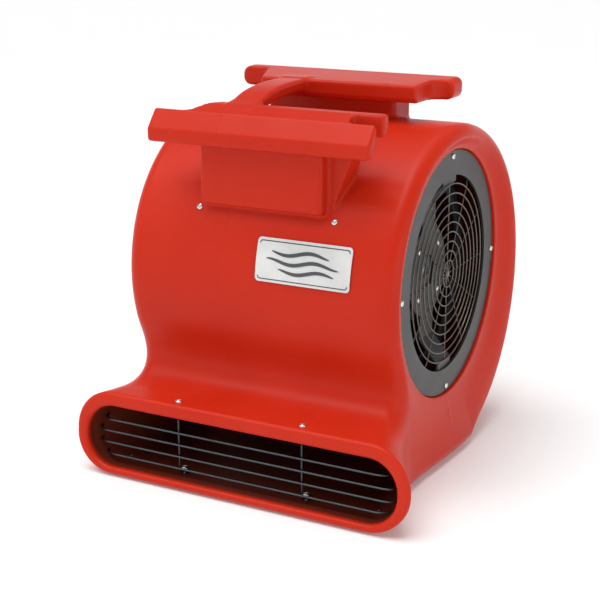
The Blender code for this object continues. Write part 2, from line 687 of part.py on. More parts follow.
def motor_bracket():
    """A strap from the top to the bottom of the right intake, dished in to carry the motor."""
    plate_x = MOTOR_END + GAP
    bends = [(BRACKET_BACK, RING_OUTER - 0.0015), (BRACKET_BACK, 0.122), (plate_x, 0.090)]
    near = [(x, r) for x, r in bends] + [(x, -r) for x, r in reversed(bends)]
    far = [(x + BRACKET_THICK, r if abs(r) > 0.1 else r * 1.01) for x, r in near]
    outline = [(x, AXIS_Z + r) for x, r in near + far[::-1]]
    strap = strip(outline, AXIS_Y - BRACKET_HALF, AXIS_Y + BRACKET_HALF)
    disc = cylinder((plate_x, AXIS_Y, AXIS_Z), (plate_x + BRACKET_THICK, AXIS_Y, AXIS_Z), 0.062, 48)
    cuts = [cylinder((plate_x - 0.01, AXIS_Y, AXIS_Z), (plate_x + 0.01, AXIS_Y, AXIS_Z), 0.022, 32)]
    for i in range(4):
        angle = math.radians(45 + 90 * i)
        cuts.append(cylinder(polar(MOTOR_BOLT_CIRCLE, angle, plate_x - 0.01),
                             polar(MOTOR_BOLT_CIRCLE, angle, plate_x + 0.01), 0.0026, 12))
    for angle in (90, 270):
        cuts.append(cylinder(polar(SCREW_CIRCLE, math.radians(angle), 0.165),
                             polar(SCREW_CIRCLE, math.radians(angle), 0.185), 0.0026, 12))
    placed("motor_bracket", joined(joined(strap, [disc]), cuts, "DIFFERENCE"), DARK)
    for i in range(4):
        head = polar(MOTOR_BOLT_CIRCLE, math.radians(45 + 90 * i), plate_x + BRACKET_THICK + GAP)
        placed(f"motor_bolt_{i + 1}", pan_screw(head, (1, 0, 0), 0.0046, 0.0034, 0.0022, 0.0125), ZINC)


def strip(outline, low, high):
    """An (x, z) outline extruded along Y."""
    mesh = prism(outline, low, high)
    mesh.transform(Matrix(((0, 1, 0, 0), (1, 0, 0, 0), (0, 0, 1, 0), (0, 0, 0, 1))))
    mesh.flip_normals()
    return mesh


# ---------------------------------------------------------------- electrics
TRAY_RADIUS = SCROLL_FRONT - WALL - GAP - 0.0005
TRAY_THICK = 0.002


def wiring_tray():
    """A curved sheet inside the scroll that closes the hollow front pedestal from below."""
    spans = arc(math.radians(108), math.radians(158), 12)
    upper = [polar(TRAY_RADIUS, a) for a in spans]
    lower = [polar(TRAY_RADIUS - TRAY_THICK, a) for a in spans]
    sheet = prism([(p.y, p.z) for p in upper + lower[::-1]], -0.108, 0.108)
    cuts = []
    for _, head, direction in TRAY_SCREW_PLACES:
        cuts.append(cylinder(head + direction * 0.002, head - direction * 0.02, 0.0023, 12))
    placed("wiring_tray", joined(sheet, cuts, "DIFFERENCE"), DARK)


def pedestal_electrics():
    """The run capacitor and the terminal block lie in the hollow front pedestal."""
    y, z = (FRONT_PEDESTAL[0] + FRONT_PEDESTAL[1]) / 2, 0.437
    can = turned(
        [(0, 0.064), (0.0150, 0.064), (0.0170, 0.062), (0.0170, 0.004), (0.0150, 0.002), (0, 0.002)],
        (0.0, y, z), (1, 0, 0), 28)
    pins = [cylinder((-0.004, y + d, z), (0.004, y + d, z), 0.0015, 8) for d in (-0.006, 0.006)]
    placed("run_capacitor", joined(can, pins), BLACK)
    block = box((-0.060, y - 0.011, z - 0.009), (-0.012, y + 0.011, z + 0.009), 0.001)
    cuts = []
    for i in range(4):
        x = -0.054 + 0.012 * i
        cuts.append(cylinder((x, y, z + 0.003), (x, y, z + 0.02), 0.0024, 12))
        cuts.append(box((x - 0.0025, y - 0.02, z - 0.005), (x + 0.0025, y - 0.006, z + 0.001)))
    placed("terminal_block", joined(block, cuts, "DIFFERENCE"), CREAM)


PANEL_HALF = 0.082
PANEL_Z = (0.4560, 0.4855)
KNOB_X = 0.0
KNOB_Z = 0.4705
GLAND_X = 0.050


def control_panel():
    """The plate over the switch pocket, on the rear of the rear pedestal."""
    y = REAR_PEDESTAL[1] + GAP
    plate = box((-PANEL_HALF, y, PANEL_Z[0]), (PANEL_HALF, y + 0.0025, PANEL_Z[1]), 0.0006)
    cuts = [
        cylinder((KNOB_X, y - 0.01, KNOB_Z), (KNOB_X, y + 0.01, KNOB_Z), 0.0036, 24),
        cylinder((GLAND_X, y - 0.01, KNOB_Z), (GLAND_X, y + 0.01, KNOB_Z), 0.0079, 20),
    ]
    for _, head, direction in PANEL_SCREW_PLACES:
        cuts.append(cylinder(head + direction * 0.002, head - direction * 0.01, 0.0018, 12))
    placed("control_panel", joined(plate, cuts, "DIFFERENCE"), DARK)

    low = (KNOB_X - 0.013, y - 0.026, KNOB_Z - 0.0115)
    body = box(low, (KNOB_X + 0.013, y - 0.0006, KNOB_Z + 0.0115), 0.001)
    collar = cylinder((KNOB_X, y - 0.002, KNOB_Z), (KNOB_X, y + 0.0036, KNOB_Z), 0.0033, 20)
    placed("switch_body", joined(body, [collar]), CREAM)

    base = y + 0.0042
    knob = turned(
        [(0, 0.0130), (0.0095, 0.0130), (0.0110, 0.0118), (0.0115, 0.0040), (0.0150, 0.0028), (0.0150, 0.0),
         (0, 0.0)],
        (KNOB_X, base, KNOB_Z), (0, 1, 0), 32)
    pointer = box((KNOB_X - 0.0018, base + 0.0005, KNOB_Z), (KNOB_X + 0.0018, base + 0.0145, KNOB_Z + 0.0136))
    placed("speed_knob", joined(knob, [pointer]), BLACK, (KNOB_X, base, KNOB_Z))


def cable_gland():
    """The gland through the panel and the nut behind it; its bore is open for the mains cable."""
    y = REAR_PEDESTAL[1] + 0.0025 + 2 * GAP
    bore = 0.0042
    profile = [
        (bore, 0.0190), (0.0070, 0.0190), (0.0100, 0.0150), (0.0112, 0.0062), (0.0112, 0.0), (0.0076, 0.0),
        (0.0076, -0.0120), (bore, -0.0120),
    ]
    placed("cable_gland", turned_ring(profile, (GLAND_X, y, KNOB_Z), (0, 1, 0), 20), BLACK)
    back = REAR_PEDESTAL[1] - 0.0005
    nut = cylinder((GLAND_X, back - 0.0045, KNOB_Z), (GLAND_X, back, KNOB_Z), 0.0115, 6)
    hole = cylinder((GLAND_X, back - 0.01, KNOB_Z), (GLAND_X, back + 0.01, KNOB_Z), 0.0079, 20)
    placed("gland_nut", joined(nut, [hole], "DIFFERENCE"), BLACK)


# ---------------------------------------------------------------- label and feet
def label_plate():
    """A thin film on the curved front of the scroll."""
    radius = SCROLL_FRONT + 0.0003
    low = math.pi - math.asin((LABEL_Z[0] - AXIS_Z) / radius)
    high = math.pi - math.asin((LABEL_Z[1] - AXIS_Z) / radius)
    spans = arc(high, low, 10)
    points = [polar(radius, a) for a in spans] + [polar(radius + 0.0012, a) for a in reversed(spans)]
    placed("label_plate", prism([(p.y, p.z) for p in points], *LABEL_X), LABEL)


def feet():
    for name, (x, y) in FOOT_PLACES.items():
        top = foot_top(y)
        profile = [
            (0.0026, top), (FOOT_RADIUS, top), (FOOT_RADIUS - 0.0015, 0.0), (0.0060, 0.0), (0.0060, 0.0035),
            (0.0026, 0.0035),
        ]
        placed(f"foot_{name}", turned_ring(profile, (x, y, 0), (0, 0, 1), 18), RUBBER)
        screw = pan_screw((x, y, 0.0035 - GAP), (0, 0, -1), 0.0046, 0.0024, 0.0018, top + 0.004)
        placed(f"foot_screw_{name}", screw, ZINC)


placed("housing", housing(), RED)
for side_name, side in (("right", 1), ("left", -1)):
    intake_ring(f"intake_ring_{side_name}", side)
    intake_guard(f"intake_guard_{side_name}", side)
outlet_grille()
grille_bolts()
screws()
blower_wheel()
wheel_hub()
motor()
motor_bracket()
wiring_tray()
pedestal_electrics()
control_panel()
cable_gland()
label_plate()
feet()
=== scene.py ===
"""Looks of the floor-standing air mover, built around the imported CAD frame. Metres, +Z up.

The housing is one moulded skin: a signed distance field, meshed on a fine grid and relaxed onto the field.
Wire guards, screws, label, knob and blower wheel are finer versions of their CAD nodes, at the same places.
"""
import json
import math

import bmesh
import bpy
import numpy as np
from mathutils import Matrix, Vector


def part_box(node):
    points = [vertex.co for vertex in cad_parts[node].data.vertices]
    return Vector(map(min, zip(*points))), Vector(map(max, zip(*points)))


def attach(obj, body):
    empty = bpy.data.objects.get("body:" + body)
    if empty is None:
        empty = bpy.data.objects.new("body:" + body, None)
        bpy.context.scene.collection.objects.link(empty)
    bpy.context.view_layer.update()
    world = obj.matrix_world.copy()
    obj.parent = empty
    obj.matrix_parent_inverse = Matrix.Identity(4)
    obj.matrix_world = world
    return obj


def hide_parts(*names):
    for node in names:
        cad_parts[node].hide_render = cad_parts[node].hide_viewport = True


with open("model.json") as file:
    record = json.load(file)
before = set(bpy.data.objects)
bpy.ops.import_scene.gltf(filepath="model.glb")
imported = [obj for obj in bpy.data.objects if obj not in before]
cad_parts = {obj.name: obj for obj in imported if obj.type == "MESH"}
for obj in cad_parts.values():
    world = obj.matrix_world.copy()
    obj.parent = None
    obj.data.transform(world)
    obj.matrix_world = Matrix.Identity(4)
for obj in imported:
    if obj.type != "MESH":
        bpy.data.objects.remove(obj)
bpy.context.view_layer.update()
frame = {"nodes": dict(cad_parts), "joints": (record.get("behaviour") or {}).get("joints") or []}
NODES = frame["nodes"]

# ---------------------------------------------------------------- places read from the frame
wheel_low, wheel_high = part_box("blower_wheel")
ring_low, ring_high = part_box("intake_ring_right")
housing_low, housing_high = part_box("housing")

AXIS = (wheel_low + wheel_high) / 2  # centre of the wheel; its axis runs along X
AXIS_Y, AXIS_Z = AXIS.y, AXIS.z
RING_RADIUS = (ring_high.z - ring_low.z) / 2
RING_BACK = ring_low.x
FLOOR_Z = housing_low.z
MOUTH_Y = housing_low.y
MOUTH_HALF = housing_high.x

# ---------------------------------------------------------------- the moulding's own dimensions
BODY_HALF = 0.200  # half width of the scroll
SCROLL_FRONT = 0.200  # its radius over the front and the top
SCROLL_REAR = 0.259  # its radius where it meets the floor
GROWTH_START = math.radians(75)
RIM_ROUND = 0.019
WALL = 0.006
NOZZLE_TOP = FLOOR_Z + 0.112
NOZZLE_ROUND = 0.056
NECK_FILLET = 0.068
FLARE_START = -0.112
FLARE_END = -0.249
MOUTH_LEAN = 0.103
LIP_ROUND = 0.0052
DISH_FLOOR = 0.1845  # half width of the body round the intakes
DISH_RIM = 0.013  # the dish starts this far inside the scroll's wall
FLARE_EXCESS = 0.0055  # the flare aims past the mouth's half width, so that its sides end parallel
FLARE_TOP = 0.215  # height above which the body doesn't flare
FLARE_FADE = 0.095
DUCT_FLOOR = 0.0125
FRONT_RIM_DROP = 0.0090
SEAM_X = 0.052  # the mould's parting line stands this far left of the middle
SEAT_RADIUS = RING_RADIUS + 0.0014
SEAT_X = RING_BACK - 0.0005
EYE_RADIUS = 0.150
CHEEK_THICK = 0.0125  # the moulding's sides beside the wheel
CELL = 0.0031
HOUSING_TRIANGLES = 190000


# ---------------------------------------------------------------- distance-field operations
def smooth_step(value):
    value = np.clip(value, 0.0, 1.0)
    return value * value * (3 - 2 * value)


def join(a, b, fillet):
    """Union of two fields, with a fillet where they meet."""
    blend = np.hypot(np.maximum(fillet - a, 0), np.maximum(fillet - b, 0))
    return np.maximum(fillet, np.minimum(a, b)) - blend


def meet(a, b, rounding):
    """Intersection of two fields, with a rounded edge."""
    outside = np.hypot(np.maximum(a + rounding, 0), np.maximum(b + rounding, 0))
    return np.minimum(np.maximum(a, b), -rounding) + outside


def cut(a, b, rounding):
    return meet(a, -b, rounding)


def slab(value, low, high):
    return np.maximum(low - value, value - high)


def block(x, y, z, low, high, rounding):
    """A box with rounded edges."""
    spans = [slab(v, a, b) + rounding for v, a, b in zip((x, y, z), low, high)]
    outside = np.sqrt(sum(np.maximum(span, 0) ** 2 for span in spans))
    return outside + np.minimum(np.maximum.reduce(spans), 0) - rounding


def inset(outline, amount):
    """A closed outline, run clockwise or not, moved inwards by an amount."""
    points = [Vector(point) for point in outline]
    area = sum(a.x * b.y - a.y * b.x for a, b in zip(points, points[1:] + points[:1]))
    turn = 1 if area > 0 else -1
    moved = []
    for before, here, after in zip(points[-1:] + points[:-1], points, points[1:] + points[:1]):
        first = (here - before).normalized()
        second = (after - here).normalized()
        inward = Vector((-first.y - second.y, first.x + second.x)) * turn
        moved.append(here + inward * (amount * 2 / inward.length_squared))
    return [(point.x, point.y) for point in moved]


def outline_distance(y, z, outline, rounding=0.0):
    """Signed distance to a closed (y, z) outline, negative inside, its corners rounded."""
    points = inset(outline, rounding) if rounding else list(outline)
    nearest = np.full(y.shape, np.inf)
    inside = np.zeros(y.shape, bool)
    for (y0, z0), (y1, z1) in zip(points, points[1:] + points[:1]):
        run, rise = y1 - y0, z1 - z0
        share = np.clip(((y - y0) * run + (z - z0) * rise) / (run * run + rise * rise), 0, 1)
        nearest = np.minimum(nearest, (y - y0 - share * run) ** 2 + (z - z0 - share * rise) ** 2)
        if rise:
            inside ^= ((z0 <= z) != (z1 <= z)) & (y < y0 + (z - z0) * run / rise)
    return np.where(inside, -1, 1) * np.sqrt(nearest) - rounding


def path_distance(y, z, path):
    nearest = np.full(y.shape, np.inf)
    for (y0, z0), (y1, z1) in zip(path, path[1:]):
        run, rise = y1 - y0, z1 - z0
        share = np.clip(((y - y0) * run + (z - z0) * rise) / (run * run + rise * rise), 0, 1)
        nearest = np.minimum(nearest, (y - y0 - share * run) ** 2 + (z - z0 - share * rise) ** 2)
    return np.sqrt(nearest)


def smooth_path(points, steps=8):
    """A Catmull-Rom curve through points."""
    ends = [points[0], *points, points[-1]]
    curve = []
    for a, b, c, d in zip(ends, ends[1:], ends[2:], ends[3:]):
        for step in range(steps):
            t = step / steps
            curve.append(tuple(
                0.5 * (2 * q + (r - p) * t + (2 * p - 5 * q + 4 * r - s) * t * t
                       + (3 * q - p - 3 * r + s) * t ** 3)
                for p, q, r, s in zip(a, b, c, d)))
    return [*curve, tuple(points[-1])]


# ---------------------------------------------------------------- the housing as a field
def scroll_distance(y, z):
    """Distance to the spiral wall: constant over the front and top, growing down the rear to the floor."""
    across, up = y - AXIS_Y, z - AXIS_Z
    radius = np.hypot(across, up)
    angle = np.arctan2(up, across)
    angle = np.where(angle < -math.pi / 2, angle + 2 * math.pi, angle)
    share = np.clip((GROWTH_START - angle) / (GROWTH_START + math.pi / 2), 0, 1)
    grown = share * 0.35 + 0.65 * smooth_step(share * 1.12)
    return radius - SCROLL_FRONT - (SCROLL_REAR - SCROLL_FRONT) * grown, radius


def flare(y, z):
    """Share of the outlet's extra width, from none in the scroll to all at the mouth."""
    along = np.clip((FLARE_START - y) / (FLARE_START - FLARE_END), 0, 1)
    return along ** 1.9 * smooth_step((FLARE_TOP - z) / FLARE_FADE)


def mouth_distance(y, z):
    """Distance in front of the outlet's leaning front face."""
    return (MOUTH_Y + MOUTH_LEAN * (z - FLOOR_Z) - y) / math.hypot(1, MOUTH_LEAN)


def side_distance(y, z):
    """Distance to the body's side outline, and the distance from the wheel's axis."""
    spiral, radius = scroll_distance(y, z)
    duct = np.maximum(z - NOZZLE_TOP, y - 0.05)
    return np.maximum(join(spiral, duct, NECK_FILLET), FLOOR_Z - z), radius


def half_width(x, y, z, side, radius):
    """Half the body's width: flared at the mouth, dished round the intakes, lower at the right front rim."""
    scroll = BODY_HALF - FRONT_RIM_DROP * smooth_step((0.060 - y) / 0.170) * smooth_step(x / 0.08)
    half = np.minimum(scroll + (MOUTH_HALF + FLARE_EXCESS - scroll) * flare(y, z), MOUTH_HALF)
    depth = np.maximum(-side - DISH_RIM, 0)
    away = np.maximum(radius - SEAT_RADIUS - 0.002, 0)
    return half - (scroll - DISH_FLOOR) * smooth_step(depth / (depth + away + 1e-6))


def outer_body(x, y, z):
    side, radius = side_distance(y, z)
    half = half_width(x, y, z, side, radius)
    opening = np.clip((FLARE_START - y) / 0.130, 0, 1) * smooth_step((FLARE_TOP - z) / FLARE_FADE)
    rounding = RIM_ROUND + (NOZZLE_ROUND - RIM_ROUND) * opening
    body = meet(side, np.abs(x) - half, rounding)
    return meet(body, mouth_distance(y, z), LIP_ROUND)


# stations along the duct: place, half width, ceiling, floor and corner radius
DUCT_Y = (-0.280, -0.235, -0.200, -0.160, -0.120, -0.050)
DUCT_HALF = (0.2285, 0.2256, 0.2110, 0.1950, 0.1885, 0.1865)
DUCT_HIGH = (0.0965, 0.0960, 0.0980, 0.1100, 0.1260, 0.1300)
DUCT_LOW = (0.0135, 0.0125, 0.0120, 0.0120, 0.0120, 0.0120)
DUCT_CORNER = (0.0410, 0.0405, 0.0360, 0.0300, 0.0240, 0.0200)


def air_path(x, y, z):
    """The hollow inside: the scroll, the duct to the mouth and the two intake eyes."""
    spiral, radius = scroll_distance(y, z)
    room = np.maximum(spiral + WALL, DUCT_FLOOR - z)
    room = np.minimum(room, np.maximum(slab(z, DUCT_FLOOR, 0.120), slab(y, -0.130, 0.030)))
    side, _ = side_distance(y, z)
    half = half_width(x, y, z, side, radius)
    room = meet(room, np.abs(x) - np.minimum(half - CHEEK_THICK, BODY_HALF - WALL), 0.008)
    corner = np.interp(y, DUCT_Y, DUCT_CORNER)
    high, low = np.interp(y, DUCT_Y, DUCT_HIGH), np.interp(y, DUCT_Y, DUCT_LOW)
    across = np.abs(x) - np.interp(y, DUCT_Y, DUCT_HALF) + corner
    up = np.abs(z - (high + low) / 2) - (high - low) / 2 + corner
    duct = np.hypot(np.maximum(across, 0), np.maximum(up, 0)) + np.minimum(np.maximum(across, up), 0) - corner
    duct = np.maximum(np.maximum(duct, np.abs(x) - half + CHEEK_THICK * 0.8), y + 0.05)
    return np.minimum(room, duct)


FRONT_DECK = (  # (y, z) outline, seen from the side
    (-0.1875, 0.444), (-0.1880, 0.461), (-0.1690, 0.484), (-0.1470, 0.4925), (-0.1300, 0.4930),
    (-0.1300, 0.4720), (-0.1650, 0.4560), (-0.1760, 0.4440),
)
REAR_DECK = (
    (-0.008, 0.5105), (0.086, 0.5145), (0.090, 0.5100), (0.090, 0.4930), (0.084, 0.4870), (0.0, 0.4870),
    (-0.006, 0.4930),
)
HANDLE_PATH = smooth_path((
    (-0.150, 0.482), (-0.133, 0.4880), (-0.110, 0.4955), (-0.085, 0.5000), (-0.055, 0.5025), (-0.020, 0.5030),
    (0.010, 0.5025),
))
HANDLE_MIDDLE, HANDLE_HALF = -0.041, 0.021
HANDLE_THICK = 0.0165
DECK_HALF = 0.156


def front_deck(x, y, z):
    """A bent plate with a slot between two prongs on the right and a notch behind a horn on the left."""
    deck = meet(outline_distance(y, z, FRONT_DECK, 0.0035), np.abs(x) - DECK_HALF, 0.0045)
    right = meet(0.117 - x, slab(y, -0.166, -0.1465), 0.0095)
    left = meet((x + 0.107 - 0.9 * (y + 0.166)) / 1.345, -0.166 - y, 0.004)
    return cut(cut(deck, right, 0.003), left, 0.003)


def rear_deck(x, y, z):
    """A flat plate whose ends are horns, with the front corners cut away."""
    ends = slab(x, -DECK_HALF - 0.004, DECK_HALF + 0.010)
    deck = meet(outline_distance(y, z, REAR_DECK, 0.0035), ends, 0.0115)
    right = meet(0.137 - x, y - 0.052, 0.018)
    left = meet((x + 0.104 - 0.4 * (0.030 - y)) / 1.077, y - 0.066, 0.010)
    return cut(cut(deck, right, 0.003), left, 0.003)


def housing_field(points):
    """The whole moulding: body, pedestals, decks and handle bar, less the hollows."""
    x, y, z = points.T
    body = outer_body(x, y, z)
    front = block(x, y, z, (-0.090, -0.169, 0.366), (0.084, -0.088, 0.476), 0.006)
    # the web under the right horn leans outwards
    lean = (x - 0.088 - 0.395 * (z - 0.366)) / 1.075
    web = np.maximum(np.maximum(lean, slab(y, -0.150, -0.118)), slab(z, 0.360, 0.470))
    front = join(front, np.maximum(web, -x), 0.004)
    rear = block(x, y, z, (-0.095, 0.022, 0.380), (0.095, 0.076, 0.498), 0.007)
    body = join(join(body, front, 0.006), rear, 0.006)
    thick = path_distance(y, z, HANDLE_PATH) - HANDLE_THICK / 2
    bar = meet(thick, np.abs(x - HANDLE_MIDDLE) - HANDLE_HALF, 0.0055)
    decks = join(np.minimum(front_deck(x, y, z), rear_deck(x, y, z)), bar, 0.006)
    body = join(body, decks, 0.004)

    body = cut(body, air_path(x, y, z), 0.0050)
    radius = np.hypot(y - AXIS_Y, z - AXIS_Z)
    seat = np.maximum(radius - SEAT_RADIUS, SEAT_X - np.abs(x))
    body = cut(body, seat, 0.0012)
    body = cut(body, radius - EYE_RADIUS, 0.0020)
    strap_low, strap_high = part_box("motor_bracket")
    strap = np.maximum(slab(y, strap_low.y - 0.002, strap_high.y + 0.002), strap_high.x - 0.0036 - x)
    body = np.maximum(body, -np.maximum(strap, radius - SEAT_RADIUS + 0.001))
    hollow = block(x, y, z, (-0.070, -0.163, 0.370), (0.070, -0.094, 0.462), 0.004)
    pocket = block(x, y, z, (-0.070, 0.034, 0.4575), (0.070, 0.100, 0.4835), 0.003)
    return np.maximum(np.maximum(body, -hollow), -pocket)


# ---------------------------------------------------------------- meshing a field
def sampled(field, points, batch=400000):
    return np.concatenate([field(points[i:i + batch]) for i in range(0, len(points), batch)])


def gradient(field, points, step=0.0004):
    """Four samples at the corners of a tetrahedron."""
    total = np.zeros(points.shape)
    for corner in ((1, 1, 1), (1, -1, -1), (-1, 1, -1), (-1, -1, 1)):
        total += np.array(corner) * sampled(field, points + np.array(corner) * step)[:, None]
    return total / (4 * step)


def settled(field, points, rounds, most):
    """Points moved along the gradient onto the field's surface, each round by no more than a given step."""
    for _ in range(rounds):
        value = sampled(field, points)
        slope = gradient(field, points)
        move = -value[:, None] * slope / np.maximum((slope ** 2).sum(1), 0.2)[:, None]
        length = np.linalg.norm(move, axis=1)
        points = points + move * np.minimum(1, most / np.maximum(length, 1e-9))[:, None]
    return points


def lattice(field, low, high, cell, coarse=4):
    """Field values on a regular lattice, worked out only near the surface; elsewhere just the sign."""
    big = cell * coarse
    counts = np.ceil((high - low) / big).astype(int)
    centres = np.stack(np.meshgrid(*[low[i] + big * (np.arange(counts[i]) + 0.5) for i in range(3)],
                                   indexing="ij"), -1)
    rough = sampled(field, centres.reshape(-1, 3)).reshape(counts)
    near = np.abs(rough) < big * 1.35
    values = np.repeat(np.repeat(np.repeat(np.sign(rough), coarse, 0), coarse, 1), coarse, 2)
    values = np.pad(values, ((0, 1),) * 3, mode="edge")
    wanted = np.zeros(values.shape, bool)
    fine = np.repeat(np.repeat(np.repeat(near, coarse, 0), coarse, 1), coarse, 2)
    for shift in np.ndindex(2, 2, 2):
        wanted[tuple(slice(s, s + n) for s, n in zip(shift, fine.shape))] |= fine
    index = np.argwhere(wanted)
    values[wanted] = sampled(field, low + index * cell)
    return values


def net(field, low, high, cell):
    """Surface net: a vertex in each cell that the surface crosses, a quad across each edge it crosses."""
    values = lattice(field, low, high, cell)
    inside = values < 0
    count = np.zeros(np.array(values.shape) - 1, np.int8)
    for shift in np.ndindex(2, 2, 2):
        count += inside[tuple(slice(s, s + n) for s, n in zip(shift, count.shape))]
    active = np.argwhere((count > 0) & (count < 8))
    number = np.full(count.shape, -1, np.int64)
    number[tuple(active.T)] = np.arange(len(active))

    corners = list(np.ndindex(2, 2, 2))
    total, crossings = np.zeros((len(active), 3)), np.zeros(len(active))
    for a in corners:
        for axis in range(3):
            if a[axis]:
                continue
            b = tuple(c + (i == axis) for i, c in enumerate(a))
            first = values[tuple((active + a).T)]
            second = values[tuple((active + b).T)]
            crossed = (first < 0) != (second < 0)
            share = np.where(crossed, first / np.where(crossed, first - second, 1), 0)
            place = np.array(a) + share[:, None] * (np.array(b) - np.array(a))
            total += place * crossed[:, None]
            crossings += crossed
    points = low + (active + total / crossings[:, None]) * cell

    quads = []
    for axis in range(3):
        along = [slice(None)] * 3
        ahead = [slice(None)] * 3
        along[axis], ahead[axis] = slice(0, -1), slice(1, None)
        start, end = inside[tuple(along)], inside[tuple(ahead)]
        edge = np.argwhere(start != end)
        one, two = (axis + 1) % 3, (axis + 2) % 3
        rim = (edge[:, one] > 0) & (edge[:, two] > 0)
        rim &= (edge[:, one] < count.shape[one]) & (edge[:, two] < count.shape[two])
        edge = edge[rim]
        cells = []
        for back_one, back_two in ((1, 1), (0, 1), (0, 0), (1, 0)):
            cell_index = edge.copy()
            cell_index[:, one] -= back_one
            cell_index[:, two] -= back_two
            cells.append(number[tuple(cell_index.T)])
        quad = np.stack(cells, 1)
        outward = start[tuple(edge.T)]
        quads.append(np.where(outward[:, None], quad, quad[:, ::-1]))
    return points, np.concatenate(quads)


def field_mesh(name, field, low, high, cell, triangles):
    points, quads = net(field, np.array(low), np.array(high), cell)
    points = settled(field, points, 3, cell * 0.45)
    mesh = bpy.data.meshes.new(name)
    mesh.from_pydata(points.tolist(), [], quads.tolist())
    made = bpy.data.objects.new(name, mesh)
    bpy.context.scene.collection.objects.link(made)
    share = triangles / (2 * len(quads))
    if share < 1:
        thin = made.modifiers.new("thin", "DECIMATE")
        thin.ratio = share
        mesh = applied(made)
    points = np.empty(len(mesh.vertices) * 3)
    mesh.vertices.foreach_get("co", points)
    points = settled(field, points.reshape(-1, 3), 2, cell * 0.3)
    mesh.vertices.foreach_set("co", points.ravel())
    mesh.update()
    mesh.shade_smooth()
    slope = gradient(field, points, 0.0006)
    slope /= np.linalg.norm(slope, axis=1)[:, None]
    mesh.normals_split_custom_set_from_vertices(slope.tolist())
    return made, points


def applied(made):
    """The object's mesh with its modifiers made permanent."""
    graph = bpy.context.evaluated_depsgraph_get()
    mesh = bpy.data.meshes.new_from_object(made.evaluated_get(graph))
    made.modifiers.clear()
    made.data = mesh
    return mesh


# ---------------------------------------------------------------- materials
RANGE_SOCKETS = ("From Min", "From Max", "To Min", "To Max")


class Finish:
    """A Principled material whose colour, roughness and bump come from noise in object space."""

    def __init__(self, name, colour, roughness, metallic=0.0):
        self.material = bpy.data.materials.new(name)
        self.material.use_nodes = True
        self.tree = self.material.node_tree
        self.shader = self.tree.nodes["Principled BSDF"]
        self.shader.inputs["Metallic"].default_value = metallic
        self.place = self.tree.nodes.new("ShaderNodeTexCoord").outputs["Object"]
        self.colour = (*colour, 1.0)
        self.roughness = None
        self.base_roughness = roughness
        self.height = None

    def set(self, socket, value):
        self.shader.inputs[socket].default_value = value
        return self

    def stretched(self, scale):
        node = self.tree.nodes.new("ShaderNodeMapping")
        node.inputs["Scale"].default_value = scale
        self.tree.links.new(self.place, node.inputs["Vector"])
        return node.outputs["Vector"]

    def noise(self, scale, detail=3.0, stretch=None, distortion=0.0):
        node = self.tree.nodes.new("ShaderNodeTexNoise")
        node.inputs["Scale"].default_value = scale
        node.inputs["Detail"].default_value = detail
        node.inputs["Distortion"].default_value = distortion
        self.tree.links.new(self.stretched(stretch) if stretch else self.place, node.inputs["Vector"])
        return node.outputs["Fac"]

    def spread(self, source, low, high, out_low=0.0, out_high=1.0):
        node = self.tree.nodes.new("ShaderNodeMapRange")
        node.clamp = True
        for socket, value in zip(RANGE_SOCKETS, (low, high, out_low, out_high)):
            node.inputs[socket].default_value = value
        self.tree.links.new(source, node.inputs["Value"])
        return node.outputs["Result"]

    def maths(self, operation, a, b):
        node = self.tree.nodes.new("ShaderNodeMath")
        node.operation = operation
        for socket, value in zip(node.inputs, (a, b)):
            if isinstance(value, (int, float)):
                socket.default_value = value
            else:
                self.tree.links.new(value, socket)
        return node.outputs["Value"]

    def axis(self, letter):
        node = self.tree.nodes.new("ShaderNodeSeparateXYZ")
        self.tree.links.new(self.place, node.inputs["Vector"])
        return node.outputs[letter]

    def tint(self, mask, colour, strength=1.0):
        """Mixes another colour in where the mask is high."""
        node = self.tree.nodes.new("ShaderNodeMix")
        node.data_type = "RGBA"
        factor = self.maths("MULTIPLY", mask, strength)
        self.tree.links.new(factor, node.inputs["Factor"])
        first, second = [s for s in node.inputs if s.type == "RGBA"]
        if isinstance(self.colour, tuple):
            first.default_value = self.colour
        else:
            self.tree.links.new(self.colour, first)
        second.default_value = (*colour, 1.0)
        self.colour = [s for s in node.outputs if s.type == "RGBA"][0]
        return self

    def rough(self, mask, amount):
        """Adds to the roughness where the mask is high, takes away where it is low."""
        change = self.spread(mask, 0.0, 1.0, -amount, amount)
        start = self.base_roughness if self.roughness is None else self.roughness
        self.roughness = self.maths("ADD", start, change)
        return self

    def raised(self, mask, height):
        value = self.maths("MULTIPLY", mask, height)
        self.height = value if self.height is None else self.maths("ADD", self.height, value)
        return self

    def done(self):
        links = self.tree.links
        if isinstance(self.colour, tuple):
            self.shader.inputs["Base Color"].default_value = self.colour
        else:
            links.new(self.colour, self.shader.inputs["Base Color"])
        if self.roughness is None:
            self.shader.inputs["Roughness"].default_value = self.base_roughness
        else:
            links.new(self.roughness, self.shader.inputs["Roughness"])
        if self.height is not None:
            bump = self.tree.nodes.new("ShaderNodeBump")
            bump.inputs["Strength"].default_value = 1.0
            bump.inputs["Distance"].default_value = 1.0
            links.new(self.height, bump.inputs["Height"])
            links.new(bump.outputs["Normal"], self.shader.inputs["Normal"])
        return self.material


